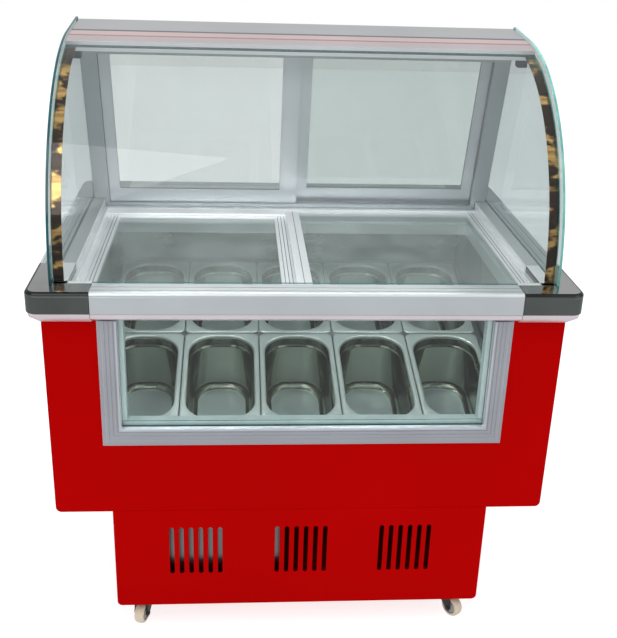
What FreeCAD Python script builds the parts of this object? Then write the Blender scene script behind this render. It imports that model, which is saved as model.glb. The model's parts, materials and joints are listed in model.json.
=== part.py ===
import FreeCAD, Part
import os
import re

import Sketcher

# Ice cream dipping cabinet. +Z is up, -Y is the customer's side, +Y the server's side.
# The origin is on the floor, under the middle of the counter. All sizes are millimetres and degrees.

DIMENSIONS = {
    # pans
    "pan_columns": 5, "pan_rows": 2, "pan_width": 176, "pan_length": 325, "pan_depth": 150,
    "pan_rim": 12, "pan_sheet": 1, "pan_draft": 2, "pan_corner": 48, "pan_rim_corner": 14,
    "pan_gap": 2, "pan_row_gap": 4, "pan_tilt": 12.1, "pan_drop": 265, "pan_seat_gap": 0.3,
    # insulated well
    "well_side_margin": 13, "pan_front_margin": 18, "pan_rear_margin": 18.6,
    "side_wall": 67, "front_wall": 44, "rear_wall": 46, "floor_wall": 26, "liner_sheet": 1.2,
    "support_bar": 20, "support_thickness": 8, "support_clearance": 1.5,
    # upper body and base
    "skin": 1.5, "body_height": 444, "body_corner": 12,
    "base_width": 812, "base_height": 248, "base_corner": 11, "base_rear_setback": 30,
    "vent_groups": 3, "vent_group_pitch": 230, "vent_slots": 6, "vent_pitch": 21,
    "vent_width": 10, "vent_height": 120, "vent_bottom": 84,
    "louvre_columns": 3, "louvre_rows": 9, "louvre_width": 180, "louvre_pitch": 20, "louvre_slot": 7,
    # window in the front wall
    "window_side_margin": 77.5, "window_bottom": 200, "window_member": 37.5, "window_proud": 7,
    "window_lining": 3, "pane_thickness": 4, "outer_pane_setback": 6, "inner_pane_setback": 34,
    # counter
    "counter_overhang": 32, "counter_side_overhang": 25, "counter_lip": 14, "counter_height": 69,
    "counter_edge": 7, "counter_corner": 25, "front_rail_depth": 54, "cap_reach": 125, "cap_return": 172,
    "deck_drop": 21, "deck_depth": 46,
    # lids and their track
    "lid_opening_margin": 18, "lid_land": 12, "lid_step": 10, "lid_rim": 11,
    "lid_rail_land": 10, "lid_rail_step": 8, "lid_rail_rim": 6,
    "lid_lower_step": 30, "lid_upper_step": 43, "lid_frame_height": 57,
    "lid_thickness": 10, "lid_glass": 4, "lid_glass_edge": 5, "lid_clearance": 0.5, "lid_overlap": 3,
    "lid_stile": 22, "lid_meeting_stile": 32, "lid_rail": 20, "lid_meeting_offset": 17,
    # display glass and canopy
    "side_glass_inset": 43, "side_glass": 6, "glass_gap": 1, "glass_setback": 12,
    "glass_rear_setback": 100, "glass_radius": 430, "glass_rise": 5, "roof_slope": 6, "rear_lean": 16,
    "front_glass_inset": 12, "front_glass": 6, "trim_width": 20, "trim_sheet": 2.5,
    "canopy_start": 13.5, "canopy_drop": 4, "canopy_thickness": 22, "canopy_rear_gap": 5,
    "lamp_width": 26, "lamp_thickness": 9, "lamp_end_gap": 60, "clip_width": 22, "clip_height": 30,
    # server's side frame and sliding doors
    "post_width": 38, "frame_thickness": 32, "frame_setback": 34, "sill_height": 10, "head_height": 50,
    "head_web": 12, "door_thickness": 10, "door_front_gap": 3.5, "door_track_pitch": 14,
    "door_clearance": 1, "door_lift": 3, "door_stile": 26, "door_meeting_stile": 43, "door_rail": 44,
    "door_top_rail": 30, "door_glass": 4, "door_glass_edge": 5, "door_overlap": 8, "fin": 2,
    # casters
    "caster_height": 66, "caster_spacing": 700, "caster_edge": 45, "caster_plate": 64,
    "caster_plate_sheet": 3, "wheel_radius": 25, "wheel_width": 22, "caster_trail": 18,
    "fork_gap": 2, "fork_sheet": 3, "fork_head_radius": 20, "axle_radius": 4, "kingpin_radius": 5,
    "kingpin_nut_radius": 8,
    "running_clearance": 0.05, "bolt_spread": 46,
    # refrigeration and electrics
    "compressor_radius": 62, "compressor_height": 170, "compressor_offset": 190,
    "condenser_width": 300, "condenser_height": 200, "condenser_depth": 38, "condenser_offset": 190,
    "condenser_gap": 30, "fan_radius": 85, "fan_ring": 5, "motor_radius": 28, "motor_length": 55,
    "shaft_radius": 4, "hub_radius": 16, "hub_length": 22, "blade_sheet": 2, "blade_root": 8, "blade_pitch": 32,
    "blade_chord": 34, "fan_blades": 5,
    "evaporator_height": 80, "evaporator_depth": 100, "evaporator_margin": 24, "evaporator_end": 50,
    "pipe_radius": 5, "pipe_clearance": 1, "pipe_pitch": 30,
    "panel_width": 170, "panel_height": 80, "panel_thickness": 4, "rocker_width": 22,
    "rocker_height": 30, "rocker_depth": 12, "rocker_throw": 8, "rocker_gap": 1, "rocker_pin": 2,
    "rocker_place": 42.5, "panel_overlap": 4,
    "gland_inset": 48, "gland_lip": 3, "gland_radius": 12, "gland_bore": 4.5, "gland_length": 26,
    "screw_radius": 2, "screw_clearance": 0.1, "screw_head": 4.2, "screw_head_height": 2.4,
    "screw_length": 8, "screw_inset": 14,
}

# Sizes that follow from the dimensions above, in the order in which they are worked out.
LAYOUT = {
    "pan_pitch": "pan_width + pan_gap",
    "pan_row_pitch": "pan_length + pan_row_gap",
    "well_width": "pan_columns * pan_pitch + 2 * well_side_margin",
    "body_width": "well_width + 2 * side_wall",
    "pan_run": "pan_rows * pan_row_pitch",
    "body_depth": "front_wall + pan_front_margin + pan_run * cos(pan_tilt) + pan_rear_margin + rear_wall",
    "front": "-body_depth / 2",
    "back": "body_depth / 2",
    "body_side": "body_width / 2",
    "body_bottom": "caster_height + base_height",
    "body_top": "body_bottom + body_height",
    "counter_top": "body_top + counter_height",
    "counter_edge_z": "body_top + counter_lip",
    "counter_front": "front - counter_overhang",
    "counter_back": "back + counter_overhang",
    "counter_side": "body_side + counter_side_overhang",
    "base_side": "base_width / 2",
    "base_back": "back - base_rear_setback",
    "well_side": "well_width / 2",
    "well_front": "front + front_wall",
    "well_back": "back - rear_wall",
    "well_floor": "body_bottom + floor_wall",
    "pan_front_y": "well_front + pan_front_margin",
    "pan_front_z": "body_top - pan_drop",
    "window_side": "well_side - window_side_margin",
    "window_z": "body_bottom + window_bottom",
    "lid_opening_side": "well_side - lid_opening_margin",
    "lid_lower_side": "lid_opening_side + lid_land",
    "lid_upper_side": "lid_lower_side + lid_step",
    "lid_frame_side": "lid_upper_side + lid_rim",
    "lid_frame_front": "counter_front + front_rail_depth",
    "glass_side": "counter_side - side_glass_inset",
    "glass_inside": "glass_side - side_glass - glass_gap",
    "glass_center_y": "front + glass_setback + glass_radius",
    "glass_center_z": "counter_top + glass_rise",
    "glass_foot_y": "back - glass_rear_setback",
    "frame_front_y": "glass_foot_y - frame_setback",
    "deck_z": "counter_top - deck_drop",
    "deck_front_y": "frame_front_y - deck_depth",
    "deck_back_y": "glass_foot_y + 2 * glass_gap",
    "lid_lower_front": "lid_frame_front + lid_rail_rim + lid_rail_step",
    "lid_upper_front": "lid_frame_front + lid_rail_rim",
    "lid_opening_front": "lid_lower_front + lid_rail_land",
    "lid_lower_back": "deck_front_y - lid_rail_rim - lid_rail_step",
    "lid_upper_back": "deck_front_y - lid_rail_rim",
    "lid_opening_back": "lid_lower_back - lid_rail_land",
    "roof_y": "glass_center_y - glass_radius * sin(roof_slope)",
    "roof_z": "glass_center_z + glass_radius * cos(roof_slope)",
    "roof_end_y": "(glass_foot_y - tan(rear_lean) * (roof_z - counter_top - roof_y * tan(roof_slope)))"
                  " / (1 + tan(rear_lean) * tan(roof_slope))",
    "roof_end_z": "roof_z + (roof_end_y - roof_y) * tan(roof_slope)",
    "front_glass_radius": "glass_radius - front_glass_inset",
    "canopy_radius": "glass_radius - canopy_drop",
    "canopy_inner_radius": "canopy_radius - canopy_thickness",
    "canopy_run": "(roof_end_y - roof_y) / cos(roof_slope) - canopy_rear_gap",
    "canopy_under_z": "roof_z - (canopy_drop + canopy_thickness) / cos(roof_slope)",
    "frame_top_z": "(canopy_under_z + (frame_front_y + deck_z * tan(rear_lean) - roof_y) * tan(roof_slope))"
                   " / (1 + tan(rear_lean) * tan(roof_slope))",
    "lamp_run": "min(lamp_width; frame_front_y - (frame_top_z - deck_z) * tan(rear_lean) - roof_y"
                " - 2 * door_front_gap)",
    "door_height": "(frame_top_z - head_web - deck_z) / cos(rear_lean) - door_lift - door_thickness",
    "door_reach": "glass_inside - post_width - door_clearance",
    "caster_x": "caster_spacing / 2",
    "caster_front_y": "front + caster_edge",
    "caster_back_y": "base_back - caster_edge",
    "fork_inside": "wheel_width / 2 + fork_gap",
    "fork_outside": "fork_inside + fork_sheet",
    "fan_y": "front + condenser_gap + condenser_depth",
    "fan_z": "caster_height + skin + condenser_height / 2 + condenser_gap / 2",
    "pipe_line_y": "well_back - evaporator_margin - evaporator_depth / 2",
    "panel_x": "base_side - panel_width",
    "panel_z": "body_bottom - panel_height",
}

OUT = 1
IN = -1
PLANE_SIGNS = {"XY": 1, "XZ": -1, "YZ": 1}
AXES = {"X": FreeCAD.Vector(1, 0, 0), "Y": FreeCAD.Vector(0, 1, 0), "Z": FreeCAD.Vector(0, 0, 1)}
ALONG = {"X": FreeCAD.Rotation(AXES["Y"], 90), "Y": FreeCAD.Rotation(AXES["X"], -90), "Z": FreeCAD.Rotation()}

document = FreeCAD.newDocument("dipping_cabinet")
nodes = []


def make_sheet():
    """Write the driving dimensions into a spreadsheet, one named cell each."""
    sheet = document.addObject("Spreadsheet::Sheet", "Dimensions")
    for row, (name, number) in enumerate(DIMENSIONS.items(), start=1):
        sheet.set(f"A{row}", name)
        sheet.set(f"B{row}", str(number))
        sheet.setAlias(f"B{row}", name)
    document.recompute()
    return sheet


def make_layout():
    """Work out the sizes that follow from the sheet, each bound to it by an expression."""
    layout = document.addObject("App::VarSet", "Layout")
    for name, expression in LAYOUT.items():
        layout.addProperty("App::PropertyFloat", name)
        layout.setExpression(name, expand(expression))
    document.recompute()
    return layout


def expand(expression):
    """Put the owner's name in front of each dimension in an expression."""
    def owned(match):
        word = match.group(0)
        if word in DIMENSIONS:
            return f"Dimensions.{word}"
        return f"Layout.{word}" if word in LAYOUT else word
    return re.sub(r"[a-z_][a-z_0-9]*", owned, str(expression))


def value(expression):
    """The number that an expression has now."""
    return float(sheet.evalExpression(expand(expression)))


def bind(thing, **properties):
    """Bind properties to expressions; a double underscore stands for a dot."""
    for name, expression in properties.items():
        thing.setExpression(name.replace("__", "."), expand(expression))
    return thing


def node(name, thing):
    """Name a finished sub-part; its label is the name of its file."""
    thing.Label = name
    nodes.append(thing)
    return thing


def place(thing, x=0, y=0, z=0, axis=None, angle=0):
    """Bind a thing's position, and its turn about an axis."""
    if axis:
        thing.Placement = FreeCAD.Placement(FreeCAD.Vector(), FreeCAD.Rotation(AXES[axis], value(angle)))
        bind(thing, Placement__Rotation__Angle=angle)
    return bind(thing, Placement__Base__x=x, Placement__Base__y=y, Placement__Base__z=z)


def box(name, x, y, z):
    """A box between two values on each axis."""
    thing = document.addObject("Part::Box", name)
    bind(thing, Length=f"({x[1]}) - ({x[0]})", Width=f"({y[1]}) - ({y[0]})", Height=f"({z[1]}) - ({z[0]})")
    return place(thing, x[0], y[0], z[0])


def rod(name, radius, length, at, along="Z"):
    """A cylinder that starts at a point and runs along an axis."""
    thing = document.addObject("Part::Cylinder", name)
    thing.Placement = FreeCAD.Placement(FreeCAD.Vector(), ALONG[along])
    bind(thing, Radius=radius, Height=length)
    return bind(thing, Placement__Base__x=at[0], Placement__Base__y=at[1], Placement__Base__z=at[2])


def ball(name, radius, at):
    """A sphere about a point."""
    return place(bind(document.addObject("Part::Sphere", name), Radius=radius), *at)


def joined(name, kind, things):
    """A fuse or a compound of several things."""
    thing = document.addObject(kind, name)
    setattr(thing, "Shapes" if kind == "Part::MultiFuse" else "Links", things)
    return thing


def fuse(name, *things):
    """One solid of several that overlap or touch."""
    return joined(name, "Part::MultiFuse", list(things))


def group(name, *things):
    """Several separate solids that belong to one sub-part."""
    return joined(name, "Part::Compound", list(things))


def cut(name, base, tool):
    """A solid with another taken away from it."""
    thing = document.addObject("Part::Cut", name)
    thing.Base = base
    thing.Tool = tool
    return thing


def mirrored(name, source, normal="X"):
    """The mirror image of a thing about the middle plane across an axis."""
    thing = document.addObject("Part::Mirroring", name)
    thing.Source = source
    thing.Normal = AXES[normal]
    return thing


def rectangle(left, right, low, high):
    """The corners of a rectangle."""
    return [(left, low), (right, low), (right, high), (left, high)]


def rounded_rectangle(left, right, low, high, radius):
    """A rectangle whose four corners are arcs."""
    return [(f"{left} + {radius}", low), (f"{right} - ({radius})", low, radius, OUT),
            (right, f"{low} + {radius}"), (right, f"{high} - ({radius})", radius, OUT),
            (f"{right} - ({radius})", high), (f"{left} + {radius}", high, radius, OUT),
            (left, f"{high} - ({radius})"), (left, f"{low} + {radius}", radius, OUT)]


def slot(x, low, high, width):
    """An upright slot with round ends, each of two quarter arcs."""
    half = f"{width} / 2"
    return [(f"{x} - {half}", f"{low} + {half}", half, OUT), (x, low, half, OUT),
            (f"{x} + {half}", f"{low} + {half}"), (f"{x} + {half}", f"{high} - {half}", half, OUT),
            (x, high, half, OUT), (f"{x} - {half}", f"{high} - {half}")]


def plate_outline(side, low, high, radius):
    """A plate with two round lower corners."""
    return [(f"-({side}) + {radius}", low), (f"{side} - ({radius})", low, radius, OUT),
            (side, f"{low} + {radius}"), (side, high),
            (f"-({side})", high), (f"-({side})", f"{low} + {radius}", radius, OUT)]


def channel_outline(side, low, high, radius):
    """A folded sheet: two sides and an underside, with round corners between them."""
    inner = f"{radius} - skin"
    return [(f"-{side}", high), (f"-{side}", f"{low} + {radius}", radius, OUT),
            (f"-{side} + {radius}", low), (f"{side} - {radius}", low, radius, OUT),
            (side, f"{low} + {radius}"), (side, high),
            (f"{side} - skin", high), (f"{side} - skin", f"{low} + {radius}", inner, IN),
            (f"{side} - {radius}", f"{low} + skin"), (f"-{side} + {radius}", f"{low} + skin", inner, IN),
            (f"-{side} + skin", f"{low} + {radius}"), (f"-{side} + skin", high)]


def arc_between(start, end, radius, bulge):
    """The arc from start to end that bulges out of, or into, an anticlockwise outline."""
    middle = (start + end) * 0.5
    half = (end - start) * 0.5
    height = max(radius ** 2 - half.Length ** 2, 0) ** 0.5
    center = middle + FreeCAD.Vector(-half.y, half.x, 0) * (bulge * height / half.Length)
    first, last = (start, end) if bulge == OUT else (end, start)
    angles = [FreeCAD.Vector(1, 0, 0).getAngle(point - center) for point in (first, last)]
    signs = [1 if point.y >= center.y else -1 for point in (first, last)]
    circle = Part.Circle(center, FreeCAD.Vector(0, 0, 1), radius)
    return Part.ArcOfCircle(circle, angles[0] * signs[0], angles[1] * signs[1])


def pin_point(sketch, geometry, end, u, v):
    """Dimension a corner from the sketch's origin."""
    for kind, axis, expression in (("DistanceX", -2, u), ("DistanceY", -1, v)):
        number = value(expression)
        if abs(number) < 1e-9:
            sketch.addConstraint(Sketcher.Constraint("PointOnObject", geometry, end, axis))
            continue
        index = sketch.addConstraint(Sketcher.Constraint(kind, -1, 1, geometry, end, number))
        sketch.setExpression(f"Constraints[{index}]", expand(expression))


def add_outline(sketch, outline):
    """Draw a closed outline of straight runs and arcs, with every corner dimensioned."""
    corners = [FreeCAD.Vector(value(item[0]), value(item[1]), 0) for item in outline]
    ends = []
    for number, item in enumerate(outline):
        start, end = corners[number], corners[(number + 1) % len(corners)]
        if len(item) == 2:
            ends.append((sketch.addGeometry(Part.LineSegment(start, end)), 1, 2))
            continue
        edge = sketch.addGeometry(arc_between(start, end, value(item[2]), item[3]))
        ends.append((edge, 1, 2) if item[3] == OUT else (edge, 2, 1))
    for number, item in enumerate(outline):
        edge, first, last = ends[number]
        after, after_first, _ = ends[(number + 1) % len(ends)]
        sketch.addConstraint(Sketcher.Constraint("Coincident", edge, last, after, after_first))
        pin_point(sketch, edge, first, item[0], item[1])
        if len(item) == 4:
            index = sketch.addConstraint(Sketcher.Constraint("Radius", edge, value(item[2])))
            sketch.setExpression(f"Constraints[{index}]", expand(item[2]))


def new_body(name):
    """An empty body for a part that is drawn and padded."""
    return document.addObject("PartDesign::Body", name)


def draw(body, plane, outlines, offset):
    """A sketch on one of the body's own planes, moved along the plane's normal."""
    sketch = body.newObject("Sketcher::SketchObject", f"{body.Name}_sketch")
    role = f"{plane}_Plane"
    sketch.AttachmentSupport = [(item, "") for item in body.Origin.OriginFeatures if item.Role == role]
    sketch.MapMode = "FlatFace"
    bind(sketch, AttachmentOffset__Base__z=offset)
    for outline in outlines:
        add_outline(sketch, outline)
    return sketch


def pad(body, plane, outline, start, end):
    """Add material between two stations across a plane."""
    low = start if PLANE_SIGNS[plane] > 0 else f"-({end})"
    feature = body.newObject("PartDesign::Pad", f"{body.Name}_pad")
    feature.Profile = draw(body, plane, [outline], low)
    bind(feature, Length=f"({end}) - ({start})")
    return feature


def pocket(body, plane, outlines, start, end):
    """Take material away between two stations across a plane."""
    high = end if PLANE_SIGNS[plane] > 0 else f"-({start})"
    feature = body.newObject("PartDesign::Pocket", f"{body.Name}_pocket")
    feature.Profile = draw(body, plane, outlines, high)
    bind(feature, Length=f"({end}) - ({start})")
    return feature


def body_tapered(body, kind, outline, depth):
    """A pad or pocket below the rim plane whose sides draw in by the pan's draft."""
    feature = body.newObject(kind, f"{body.Name}_taper")
    feature.Profile = draw(body, "XY", [outline], 0)
    bind(feature, Length=depth, TaperAngle="-pan_draft")
    return feature


def loft(body, low_outline, low_z, high_outline, high_z):
    """Add material between two level outlines with the same corners."""
    feature = body.newObject("PartDesign::AdditiveLoft", f"{body.Name}_loft")
    feature.Profile = draw(body, "XY", [low_outline], low_z)
    feature.Sections = [draw(body, "XY", [high_outline], high_z)]
    feature.Ruled = True
    return feature


def repeat(body, feature, *steps):
    """Repeat a pocket in rows; each step is an axis of its sketch, a pitch and a count."""
    rows = []
    for axis, pitch, count in steps:
        row = body.newObject("PartDesign::LinearPattern", f"{body.Name}_row")
        row.Direction = (feature.Profile[0], [axis])
        rows.append(bind(row, Length=f"({pitch}) * ({count} - 1)", Occurrences=count))
    pattern = body.newObject("PartDesign::MultiTransform", f"{body.Name}_rows")
    pattern.Originals = [feature]
    pattern.Transformations = rows
    body.Tip = pattern
    return pattern


def revolve(body, plane, outline, axis):
    """Turn an outline a full turn about one of the sketch's axes."""
    feature = body.newObject("PartDesign::Revolution", f"{body.Name}_turn")
    sketch = draw(body, plane, [outline], 0)
    feature.Profile = sketch
    feature.ReferenceAxis = (sketch, [axis])
    feature.Angle = 360
    return feature


def roof_point(run, depth):
    """A point in the side view: a run along the roof line, and a depth square to it."""
    return (f"roof_y + ({run}) * cos(roof_slope) + ({depth}) * sin(roof_slope)",
            f"roof_z + ({run}) * sin(roof_slope) - ({depth}) * cos(roof_slope)")


def arc_point(radius, angle):
    """A point in the side view on an arc about the display glass's centre, angle from upright."""
    return (f"glass_center_y - ({radius}) * sin({angle})", f"glass_center_z + ({radius}) * cos({angle})")


def lean_point(depth, height):
    """A point in the side view of the leaning rear frame: depth behind its face, and height."""
    return (f"frame_front_y + ({depth}) / cos(rear_lean) - (({height}) - deck_z) * tan(rear_lean)", height)


def make_pans():
    """Tapered pans with flat rims, in two rows on a tilted plane."""
    half_width, half_length, rim = "pan_width / 2", "pan_length / 2", "pan_rim"
    pan = new_body("pan_pattern")
    opening = rounded_rectangle(f"-{half_width} + {rim}", f"{half_width} - {rim}",
                                f"-{half_length} + {rim}", f"{half_length} - {rim}", "pan_corner")
    inner = rounded_rectangle(f"-{half_width} + {rim} + pan_sheet", f"{half_width} - {rim} - pan_sheet",
                              f"-{half_length} + {rim} + pan_sheet", f"{half_length} - {rim} - pan_sheet",
                              "pan_corner - pan_sheet")
    cup = body_tapered(pan, "PartDesign::Pad", opening, "pan_depth")
    cup.Reversed = True
    pad(pan, "XY", rounded_rectangle(f"-{half_width}", half_width, f"-{half_length}", half_length,
                                     "pan_rim_corner"), 0, "pan_sheet")
    hollow = body_tapered(pan, "PartDesign::Pocket", inner, "pan_depth - pan_sheet")
    pocket(pan, "XY", [inner], "-pan_sheet", "2 * pan_sheet")
    hollow.Label = "pan_hollow"
    for row, side in enumerate(("front", "rear")):
        for column in range(int(value("pan_columns"))):
            run = f"(({row} + 0.5) * pan_row_pitch)"
            copy = node(f"pan_{side}_{column + 1}", group(f"pan_{side}", pan))
            place(copy, f"({column} - (pan_columns - 1) / 2) * pan_pitch",
                  f"pan_front_y + {run} * cos(pan_tilt)", f"pan_front_z + {run} * sin(pan_tilt)",
                   "X", "pan_tilt")


def make_pan_support():
    """A ladder of three bars and two side rails under the pan rims, on the same tilted plane."""
    frame = new_body("pan_support_blank")
    side = "well_side - support_clearance"
    lead, reach = "pan_front_margin - 2 * support_clearance", "pan_rim - support_clearance"
    top, low = "-pan_seat_gap", "-pan_seat_gap - support_thickness"
    pad(frame, "XY", rectangle(f"-({side})", side, f"-({lead})", f"pan_run + pan_rim"), low, top)
    inner = "pan_columns * pan_pitch / 2"
    windows = []
    for row in range(int(value("pan_rows"))):
        first = f"{row} * pan_row_pitch + pan_row_gap / 2 + {reach}"
        last = f"({row} + 1) * pan_row_pitch - pan_row_gap / 2 - ({reach})"
        windows.append(rectangle(f"-{inner}", inner, first, last))
    pocket(frame, "XY", windows, low, top)
    support = node("pan_support_frame", group("pan_support", frame))
    place(support, 0, "pan_front_y", "pan_front_z", "X", "pan_tilt")


def make_body():
    """The upper cabinet: folded skin, front and rear panels, foam and stainless liner."""
    shell = new_body("body_shell_blank")
    pad(shell, "XZ", channel_outline("body_side", "body_bottom", "body_top", "body_corner"), "front", "back")
    inside = plate_outline("body_side - skin", "body_bottom + skin", "body_top", "body_corner - skin")
    window = [rectangle("-window_side", "window_side", "window_z", "body_top + skin")]
    front_panel = new_body("front_panel_blank")
    pad(front_panel, "XZ", inside, "front", "front + skin")
    pocket(front_panel, "XZ", window, "front", "front + skin")
    rear_panel = new_body("rear_panel_blank")
    pad(rear_panel, "XZ", inside, "back - skin", "back")
    foam = new_body("foam_blank")
    pad(foam, "XZ", inside, "front + skin", "back - skin")
    liner_outside = rectangle("-well_side - liner_sheet", "well_side + liner_sheet",
                              "well_front - liner_sheet", "well_back + liner_sheet")
    pocket(foam, "XY", [liner_outside], "well_floor - liner_sheet", "body_top")
    pocket(foam, "XZ", window, "front + skin", "well_front")
    liner = new_body("liner_blank")
    pad(liner, "XY", liner_outside, "well_floor - liner_sheet", "body_top")
    pocket(liner, "XY", [rectangle("-well_side", "well_side", "well_front", "well_back")], "well_floor",
           "body_top")
    pocket(liner, "XZ", window, "well_front - liner_sheet", "well_front")
    node("front_panel", front_panel)
    node("rear_panel", rear_panel)
    for name, blank in (("body_shell", shell), ("foam_core", foam), ("well_liner", liner)):
        node(name, cut(f"{name}_piped", blank, pipe_holes(name)))


def pipe_holes(name):
    """Clearance holes for the two refrigerant pipes through the floor of the well."""
    radius = "pipe_radius + pipe_clearance"
    holes = [rod(f"{name}_hole", radius, "floor_wall + 2 * skin", (x, "pipe_line_y", "body_bottom - skin"))
             for x in pipe_stations()]
    return fuse(f"{name}_holes", *holes)


def pipe_stations():
    """The two pipes' places across the cabinet."""
    return "compressor_offset", "compressor_offset + pipe_pitch"


def make_base():
    """The machine compartment: folded skin, slotted front panel and louvred rear panel."""
    shell = new_body("base_shell_blank")
    outline = channel_outline("base_side", "caster_height", "body_bottom", "base_corner")
    pad(shell, "XZ", outline, "front", "base_back")
    holes = [rod("bolt_hole", "screw_radius + screw_clearance", "4 * skin", (x, y, "caster_height - skin"))
             for x, y in caster_bolts()]
    node("base_shell", cut("base_shell_drilled", shell, fuse("base_bolt_holes", *holes)))
    inside = plate_outline("base_side - skin", "caster_height + skin", "body_bottom", "base_corner - skin")
    grille = new_body("front_grille_blank")
    pad(grille, "XZ", inside, "front", "front + skin")
    first = "-(vent_groups - 1) / 2 * vent_group_pitch - (vent_slots - 1) / 2 * vent_pitch"
    low = "caster_height + vent_bottom"
    vent = pocket(grille, "XZ", [slot(first, low, f"{low} + vent_height", "vent_width")], "front",
                  "front + skin")
    repeat(grille, vent, ("H_Axis", "vent_pitch", "vent_slots"), ("H_Axis", "vent_group_pitch", "vent_groups"))
    node("base_front_grille", grille)
    rear = new_body("rear_grille_blank")
    pad(rear, "XZ", inside, "base_back - skin", "base_back")
    left, low = "-base_side + 2 * louvre_pitch", "caster_height + louvre_pitch"
    louvre = pocket(rear, "XZ", [rectangle(left, f"{left} + louvre_width", low, f"{low} + louvre_slot")],
                    "base_back - skin", "base_back")
    repeat(rear, louvre, ("H_Axis", "louvre_width + louvre_pitch", "louvre_columns"),
           ("V_Axis", "louvre_pitch", "louvre_rows"))
    holes = [rod("grille_hole", "screw_radius + screw_clearance", "4 * skin", (x, "base_back - 2 * skin", z),
                 "Y")
             for x, z in grille_screws()]
    gland_hole = rod("gland_hole", "gland_radius", "4 * skin", gland_place("base_back - 2 * skin"), "Y")
    panel_hole = box("panel_hole", ("panel_x + panel_overlap", "panel_x + panel_width - panel_overlap"),
                     ("base_back - 2 * skin", "base_back + skin"),
                     ("panel_z - panel_height / 2 + panel_overlap",
                      "panel_z + panel_height / 2 - panel_overlap"))
    node("base_rear_grille", cut("rear_grille_cut", rear, fuse("grille_holes", gland_hole, panel_hole, *holes)))


def make_window():
    """The window: an aluminium frame lapped over the front skin, a lining, and two panes."""
    frame = new_body("window_frame_blank")
    outer, low = "window_side + window_member", "window_z - window_member"
    opening = "window_side - window_lining"
    pad(frame, "XZ", rectangle(f"-({outer})", outer, low, "body_top"), "front - window_proud", "front")
    pad(frame, "XZ", rectangle("-window_side", "window_side", "window_z", "body_top"), "front", "well_front")
    pocket(frame, "XZ", [rectangle(f"-({opening})", opening, "window_z + window_lining", "body_top + skin")],
           "front - window_proud", "well_front")
    node("window_frame", frame)
    panes = []
    for setback in ("outer_pane_setback", "inner_pane_setback"):
        panes.append(box("pane", (f"-({opening})", opening),
                         (f"front + {setback}", f"front + {setback} + pane_thickness"),
                         ("window_z + window_lining", "body_top")))
    node("window_panes", group("panes", *panes))


def make_counter():
    """The counter: a front rail, side rails, a rear rail with a low deck, and four corner caps."""
    side = "counter_side - cap_reach"
    front_rail = new_body("front_rail_blank")
    edge = "counter_edge"
    profile = [("front", "body_top"), ("lid_frame_front", "body_top"), ("lid_frame_front", "counter_top"),
               (f"counter_front + {edge}", "counter_top", edge, OUT),
                ("counter_front", f"counter_top - {edge}"),
               ("counter_front", "counter_edge_z")]
    pad(front_rail, "YZ", profile, f"-({side})", side)
    node("front_rail", front_rail)
    rear_rail = new_body("rear_rail_blank")
    profile = [("deck_back_y", "body_top"), ("back", "body_top"), ("counter_back", "counter_edge_z"),
               ("counter_back", f"counter_top - {edge}", edge, OUT), (f"counter_back - {edge}", "counter_top"),
               ("deck_back_y", "counter_top")]
    pad(rear_rail, "YZ", profile, f"-({side})", side)
    pad(rear_rail, "YZ", rectangle("deck_front_y", "deck_back_y", "body_top", "deck_z"),
        "-lid_frame_side", "lid_frame_side")
    node("rear_rail", rear_rail)
    side_rail = new_body("side_rail_blank")
    profile = [("lid_frame_side", "body_top"), ("body_side", "body_top"), ("counter_side", "counter_edge_z"),
               ("counter_side", f"counter_top - {edge}", edge, OUT), (f"counter_side - {edge}", "counter_top"),
               ("lid_frame_side", "counter_top")]
    pad(side_rail, "XZ", profile, "counter_front + cap_return", "counter_back - cap_return")
    node("side_rails", group("side_rail_pair", side_rail, mirrored("side_rail_left", side_rail)))
    front_cap = make_cap("front_cap", "counter_front", "front", "counter_front + cap_return", "lid_frame_front")
    rear_cap = make_cap("rear_cap", "-counter_back", "-back", "-counter_back + cap_return", "-deck_back_y")
    rear_cap = mirrored("rear_cap_turned", rear_cap, "Y")
    caps = [front_cap, mirrored("front_cap_left", front_cap), rear_cap, mirrored("rear_cap_left", rear_cap)]
    node("corner_caps", group("cap_set", *caps))


def make_cap(name, face, wall, end, inner):
    """An L-shaped corner of the counter; its underside slopes in to the cabinet's wall."""
    cap = new_body(name)
    start = "counter_side - cap_reach"

    def outline(x, y, radius):
        return [(start, y), (f"{x} - {radius}", y, radius, OUT), (x, f"{y} + {radius}"),
                (x, end), ("lid_frame_side", end), ("lid_frame_side", inner), (start, inner)]
    full = outline("counter_side", face, "counter_corner")
    loft(cap, outline("body_side", wall, "skin"), "body_top", full, "counter_edge_z")
    pad(cap, "XY", full, "counter_edge_z", "counter_top")
    return cap


def make_lid_track():
    """A stepped frame round the well's opening: a low step for one lid and a high step for the other."""
    blank = box("lid_track_blank", ("-lid_frame_side", "lid_frame_side"), ("lid_frame_front", "deck_front_y"),
                ("body_top", "body_top + lid_frame_height"))
    top = "body_top + lid_frame_height + skin"
    steps = [("opening", "body_top - skin"), ("lower", "body_top + lid_lower_step"),
             ("upper", "body_top + lid_upper_step")]
    tools = [box(f"lid_{name}_cut", (f"-lid_{name}_side", f"lid_{name}_side"),
                 (f"lid_{name}_front", f"lid_{name}_back"), (low, top)) for name, low in steps]
    node("lid_track_frame", cut("lid_track_cut", blank, fuse("lid_track_tools", *tools)))


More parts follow.
